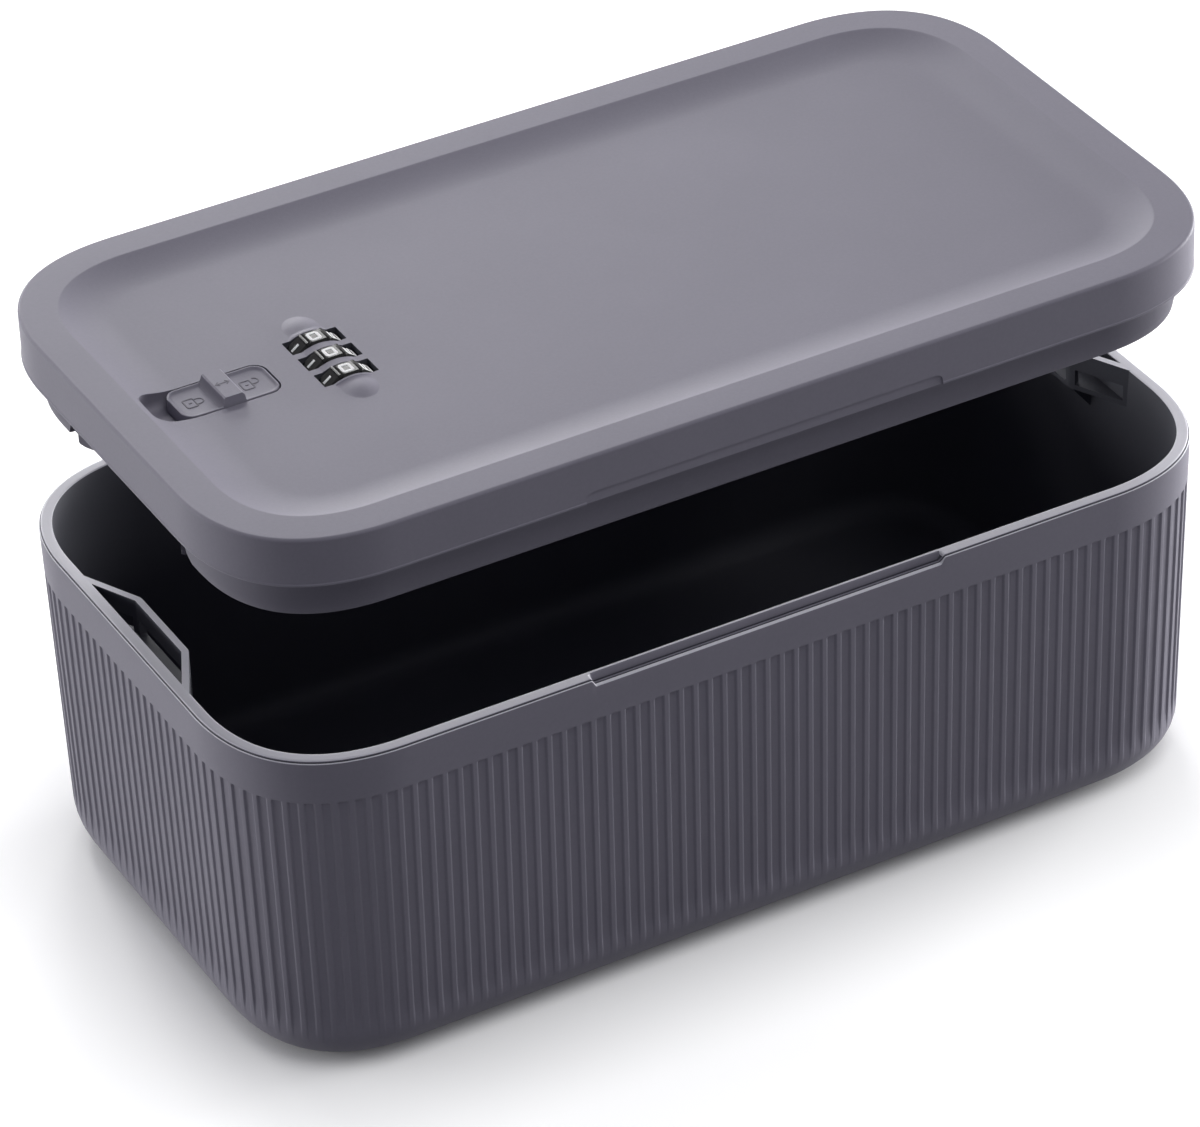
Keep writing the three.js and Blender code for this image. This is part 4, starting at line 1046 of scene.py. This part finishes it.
class LOCKBOX_OT_screws(bpy.types.Operator):
    """Build the cross-headed screws that hold the liner"""

    bl_idname = "lockbox.screws"
    bl_label = "Lid screws"

    def execute(self, context):
        for n in range(1, 9):
            name = f"lid_screw_{n}"
            x, y = middle(name, 0), middle(name, 1)
            low, high = ends(name, 2)
            head = (ends(name, 0)[1] - ends(name, 0)[0]) / 2
            shank = 1.2 * MM
            profile = [(head * 0.45, 0), (head * 0.72, 0.08 * MM), (head * 0.92, 0.4 * MM), (head, 0.8 * MM),
                       (head, 1.25 * MM), (shank, 1.3 * MM), (shank, high - low - 1.2 * MM),
                       (0.3 * MM, high - low)]
            vertices, faces, _ = skin([at_level(circle(x, y, r, 32), low + h) for r, h in profile])
            piece = new_piece(f"{name}_cross", vertices, faces, ["bright_steel"])
            arm, bar = 1.3 * MM, 0.32 * MM
            cross = [(arm, -bar), (arm, bar), (bar, bar), (bar, arm), (-bar, arm), (-bar, bar), (-arm, bar),
                     (-arm, -bar), (-bar, -bar), (-bar, -arm), (bar, -arm), (bar, -bar)]
            drive = prism("drive", [(x + u, y + v) for u, v in cross], low - 1 * MM, low + 0.9 * MM,
                          "bright_steel")
            combine(piece, "DIFFERENCE", [drive])
            smooth(piece.data, 35)
            place(piece, "lid", "steel", name)
        return {"FINISHED"}


class LOCKBOX_OT_lock_parts(bpy.types.Operator):
    """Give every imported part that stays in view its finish"""

    bl_idname = "lockbox.lock_parts"
    bl_label = "Lock parts"

    def execute(self, context):
        finishes = {"shell": "shell_plastic", "liner": "liner_painted_shade", "dial": "dial_plastic",
                    "lock": "lock_plastic", "steel": "bright_steel"}
        for part in frame["record"]["subparts"]:
            node = frame["nodes"][part["node"]]
            node.data.materials.clear()
            node.data.materials.append(finish(finishes[part["material_slot"]]))
        return {"FINISHED"}


class LOCKBOX_OT_stage(bpy.types.Operator):
    """Build the floor, the studio light and the camera"""

    bl_idname = "lockbox.stage"
    bl_label = "Stage"

    def execute(self, context):
        self.camera(context)
        self.floor()
        self.lamps()
        self.world(context)
        context.scene.view_settings.view_transform = "Standard"
        return {"FINISHED"}

    def camera(self, context):
        """Camera fitted to the picture's 1200 by 1127 frame."""
        width, height, focal = 1200, 1127, 6068.8
        azimuth, elevation, roll = (math.radians(v) for v in (-28.914, 34.331, -1.834))
        level = math.cos(elevation)
        back = Vector((math.sin(azimuth) * level, -math.cos(azimuth) * level, math.sin(elevation)))
        target = Vector((2.71, -20.20, 69.33)) * MM
        eye = target + back * 1439.4 * MM
        right = (-back).cross(Vector((0, 0, 1))).normalized()
        up = right.cross(-back)
        right, up = (right * math.cos(roll) + up * math.sin(roll), up * math.cos(roll) - right * math.sin(roll))
        middle_ray = -back * focal + right * (width / 2 - 672.02) + up * (580.06 - height / 2)
        back = -middle_ray.normalized()
        right = (right - back * right.dot(back)).normalized()
        up = back.cross(right)
        data = bpy.data.cameras.new("camera")
        data.sensor_fit = "HORIZONTAL"
        data.sensor_width = 36
        data.lens = focal / width * 36
        data.clip_end = 20
        camera = bpy.data.objects.new("camera", data)
        camera.matrix_world = Matrix.Translation(eye) @ Matrix((right, up, back)).transposed().to_4x4()
        context.scene.collection.objects.link(camera)
        context.scene.camera = camera

    def seen(self, tree):
        """1 for camera, glossy and transmission rays, and 0 for the rays that carry light to the object."""
        path = tree.nodes.new("ShaderNodeLightPath")
        found = path.outputs["Is Camera Ray"]
        for kind in ("Is Glossy Ray", "Is Transmission Ray"):
            either = tree.nodes.new("ShaderNodeMath")
            either.operation = "MAXIMUM"
            tree.links.new(found, either.inputs[0])
            tree.links.new(path.outputs[kind], either.inputs[1])
            found = either.outputs[0]
        return found

    def chosen(self, tree, hidden, shown):
        """The shown colour where the ray is a seen one, and the hidden colour elsewhere."""
        mix = tree.nodes.new("ShaderNodeMix")
        mix.data_type = "RGBA"
        mix.inputs[6].default_value = hidden
        mix.inputs[7].default_value = shown
        tree.links.new(self.seen(tree), mix.inputs[0])
        return mix.outputs[2]

    def floor(self):
        mesh = bpy.data.meshes.new("floor")
        mesh.from_pydata([(-6, -6, 0), (6, -6, 0), (6, 6, 0), (-6, 6, 0)], [], [(0, 1, 2, 3)])
        floor = bpy.data.objects.new("floor", mesh)
        bpy.context.scene.collection.objects.link(floor)
        material = bpy.data.materials.new("floor_paper")
        material.use_nodes = True
        nodes, links = material.node_tree.nodes, material.node_tree.links
        surface = nodes["Principled BSDF"]
        surface.inputs["Roughness"].default_value = 0.9
        surface.inputs["Specular IOR Level"].default_value = 0.1
        links.new(self.chosen(material.node_tree, (0.3, 0.3, 0.31, 1), (0.8, 0.8, 0.79, 1)),
                  surface.inputs["Base Color"])
        links.new(self.chosen(material.node_tree, (0, 0, 0, 1), (0.55, 0.55, 0.55, 1)),
                  surface.inputs["Emission Color"])
        # The shown floor's glow is dimmed by ambient occlusion near the box and raised to a power, as a painted
        # contact shadow
        painted_contact_shadow = nodes.new("ShaderNodeAmbientOcclusion")
        painted_contact_shadow.samples = 4
        painted_contact_shadow.inputs["Distance"].default_value = 38 * MM
        deepen_painted_shadow = nodes.new("ShaderNodeMath")
        deepen_painted_shadow.operation = "POWER"
        deepen_painted_shadow.inputs[1].default_value = 1.4
        links.new(painted_contact_shadow.outputs["AO"], deepen_painted_shadow.inputs[0])
        links.new(deepen_painted_shadow.outputs[0], surface.inputs["Emission Strength"])
        mesh.materials.append(material)

    def lamps(self):
        """Soft boxes turned to the middle of the stage: place and size in metres, power in watts."""
        for name, spot, size, power in (
                ("top_front_light", (0.35, -0.5, 1.6), (1.6, 1.0), 11.5),
                ("back_light", (0.1, 1.5, 0.5), (1.1, 0.5), 13),
                ("left_back_light", (-1.25, 0.95, 0.2), (0.8, 0.3), 12),
                ("left_light", (-1.6, 0.1, 0.2), (1.0, 0.3), 2),
                ("right_light", (1.6, 0.1, 0.2), (1.0, 0.3), 40),
                ("right_front_light", (1.3, -0.9, 0.6), (0.8, 0.8), 1),
                ("dial_face_light", (0.57, 1.15, 1.04), (0.35, 0.25), 4.2),
                ("dial_ridge_light", (0, 1.15, 1.1), (0.22, 0.22), 4.2)):
            data = bpy.data.lights.new(name, "AREA")
            data.shape = "RECTANGLE"
            data.size, data.size_y = size
            data.energy = power
            lamp = bpy.data.objects.new(name, data)
            aim = Vector(spot).to_track_quat("Z", "Y").to_matrix().to_4x4()
            lamp.matrix_world = Matrix.Translation(spot) @ aim
            bpy.context.scene.collection.objects.link(lamp)

    def world(self, context):
        world = context.scene.world or bpy.data.worlds.new("studio")
        context.scene.world = world
        world.use_nodes = True
        world.node_tree.links.new(self.chosen(world.node_tree, (0.05, 0.05, 0.085, 1), (1, 1, 1, 1)),
                                  world.node_tree.nodes["Background"].inputs["Color"])


class LOCKBOX_PT_panel(bpy.types.Panel):
    """Sizes, colours and building steps of the lock box"""

    bl_idname = "LOCKBOX_PT_panel"
    bl_label = "Lock Box"
    bl_space_type = "VIEW_3D"
    bl_region_type = "UI"
    bl_category = "Lock Box"

    def draw(self, context):
        for group in (context.scene.lock_box_sizes, context.scene.lock_box_colours):
            column = self.layout.column(align=True)
            for key in group.bl_rna.properties.keys():
                if key not in ("rna_type", "name"):
                    column.prop(group, key)
        column = self.layout.column(align=True)
        for operator in OPERATORS:
            column.operator(operator.bl_idname)


OPERATORS = (
    LOCKBOX_OT_stage, LOCKBOX_OT_tub, LOCKBOX_OT_keepers, LOCKBOX_OT_lid_cover, LOCKBOX_OT_liner,
    LOCKBOX_OT_slider, LOCKBOX_OT_dials, LOCKBOX_OT_screws, LOCKBOX_OT_lock_parts,
)
CLASSES = (LOCKBOX_PG_sizes, LOCKBOX_PG_colours, *OPERATORS, LOCKBOX_PT_panel)


def register():
    for each in CLASSES:
        bpy.utils.register_class(each)
    bpy.types.Scene.lock_box_sizes = PointerProperty(type=LOCKBOX_PG_sizes)
    bpy.types.Scene.lock_box_colours = PointerProperty(type=LOCKBOX_PG_colours)


def unregister():
    del bpy.types.Scene.lock_box_colours
    del bpy.types.Scene.lock_box_sizes
    for each in reversed(CLASSES):
        bpy.utils.unregister_class(each)


def main():
    register()
    bpy.ops.lockbox.stage()
    bpy.ops.lockbox.tub()
    bpy.ops.lockbox.keepers()
    bpy.ops.lockbox.lid_cover()
    bpy.ops.lockbox.liner()
    bpy.ops.lockbox.slider()
    bpy.ops.lockbox.dials()
    bpy.ops.lockbox.screws()
    bpy.ops.lockbox.lock_parts()


if __name__ == "__main__":
    main()
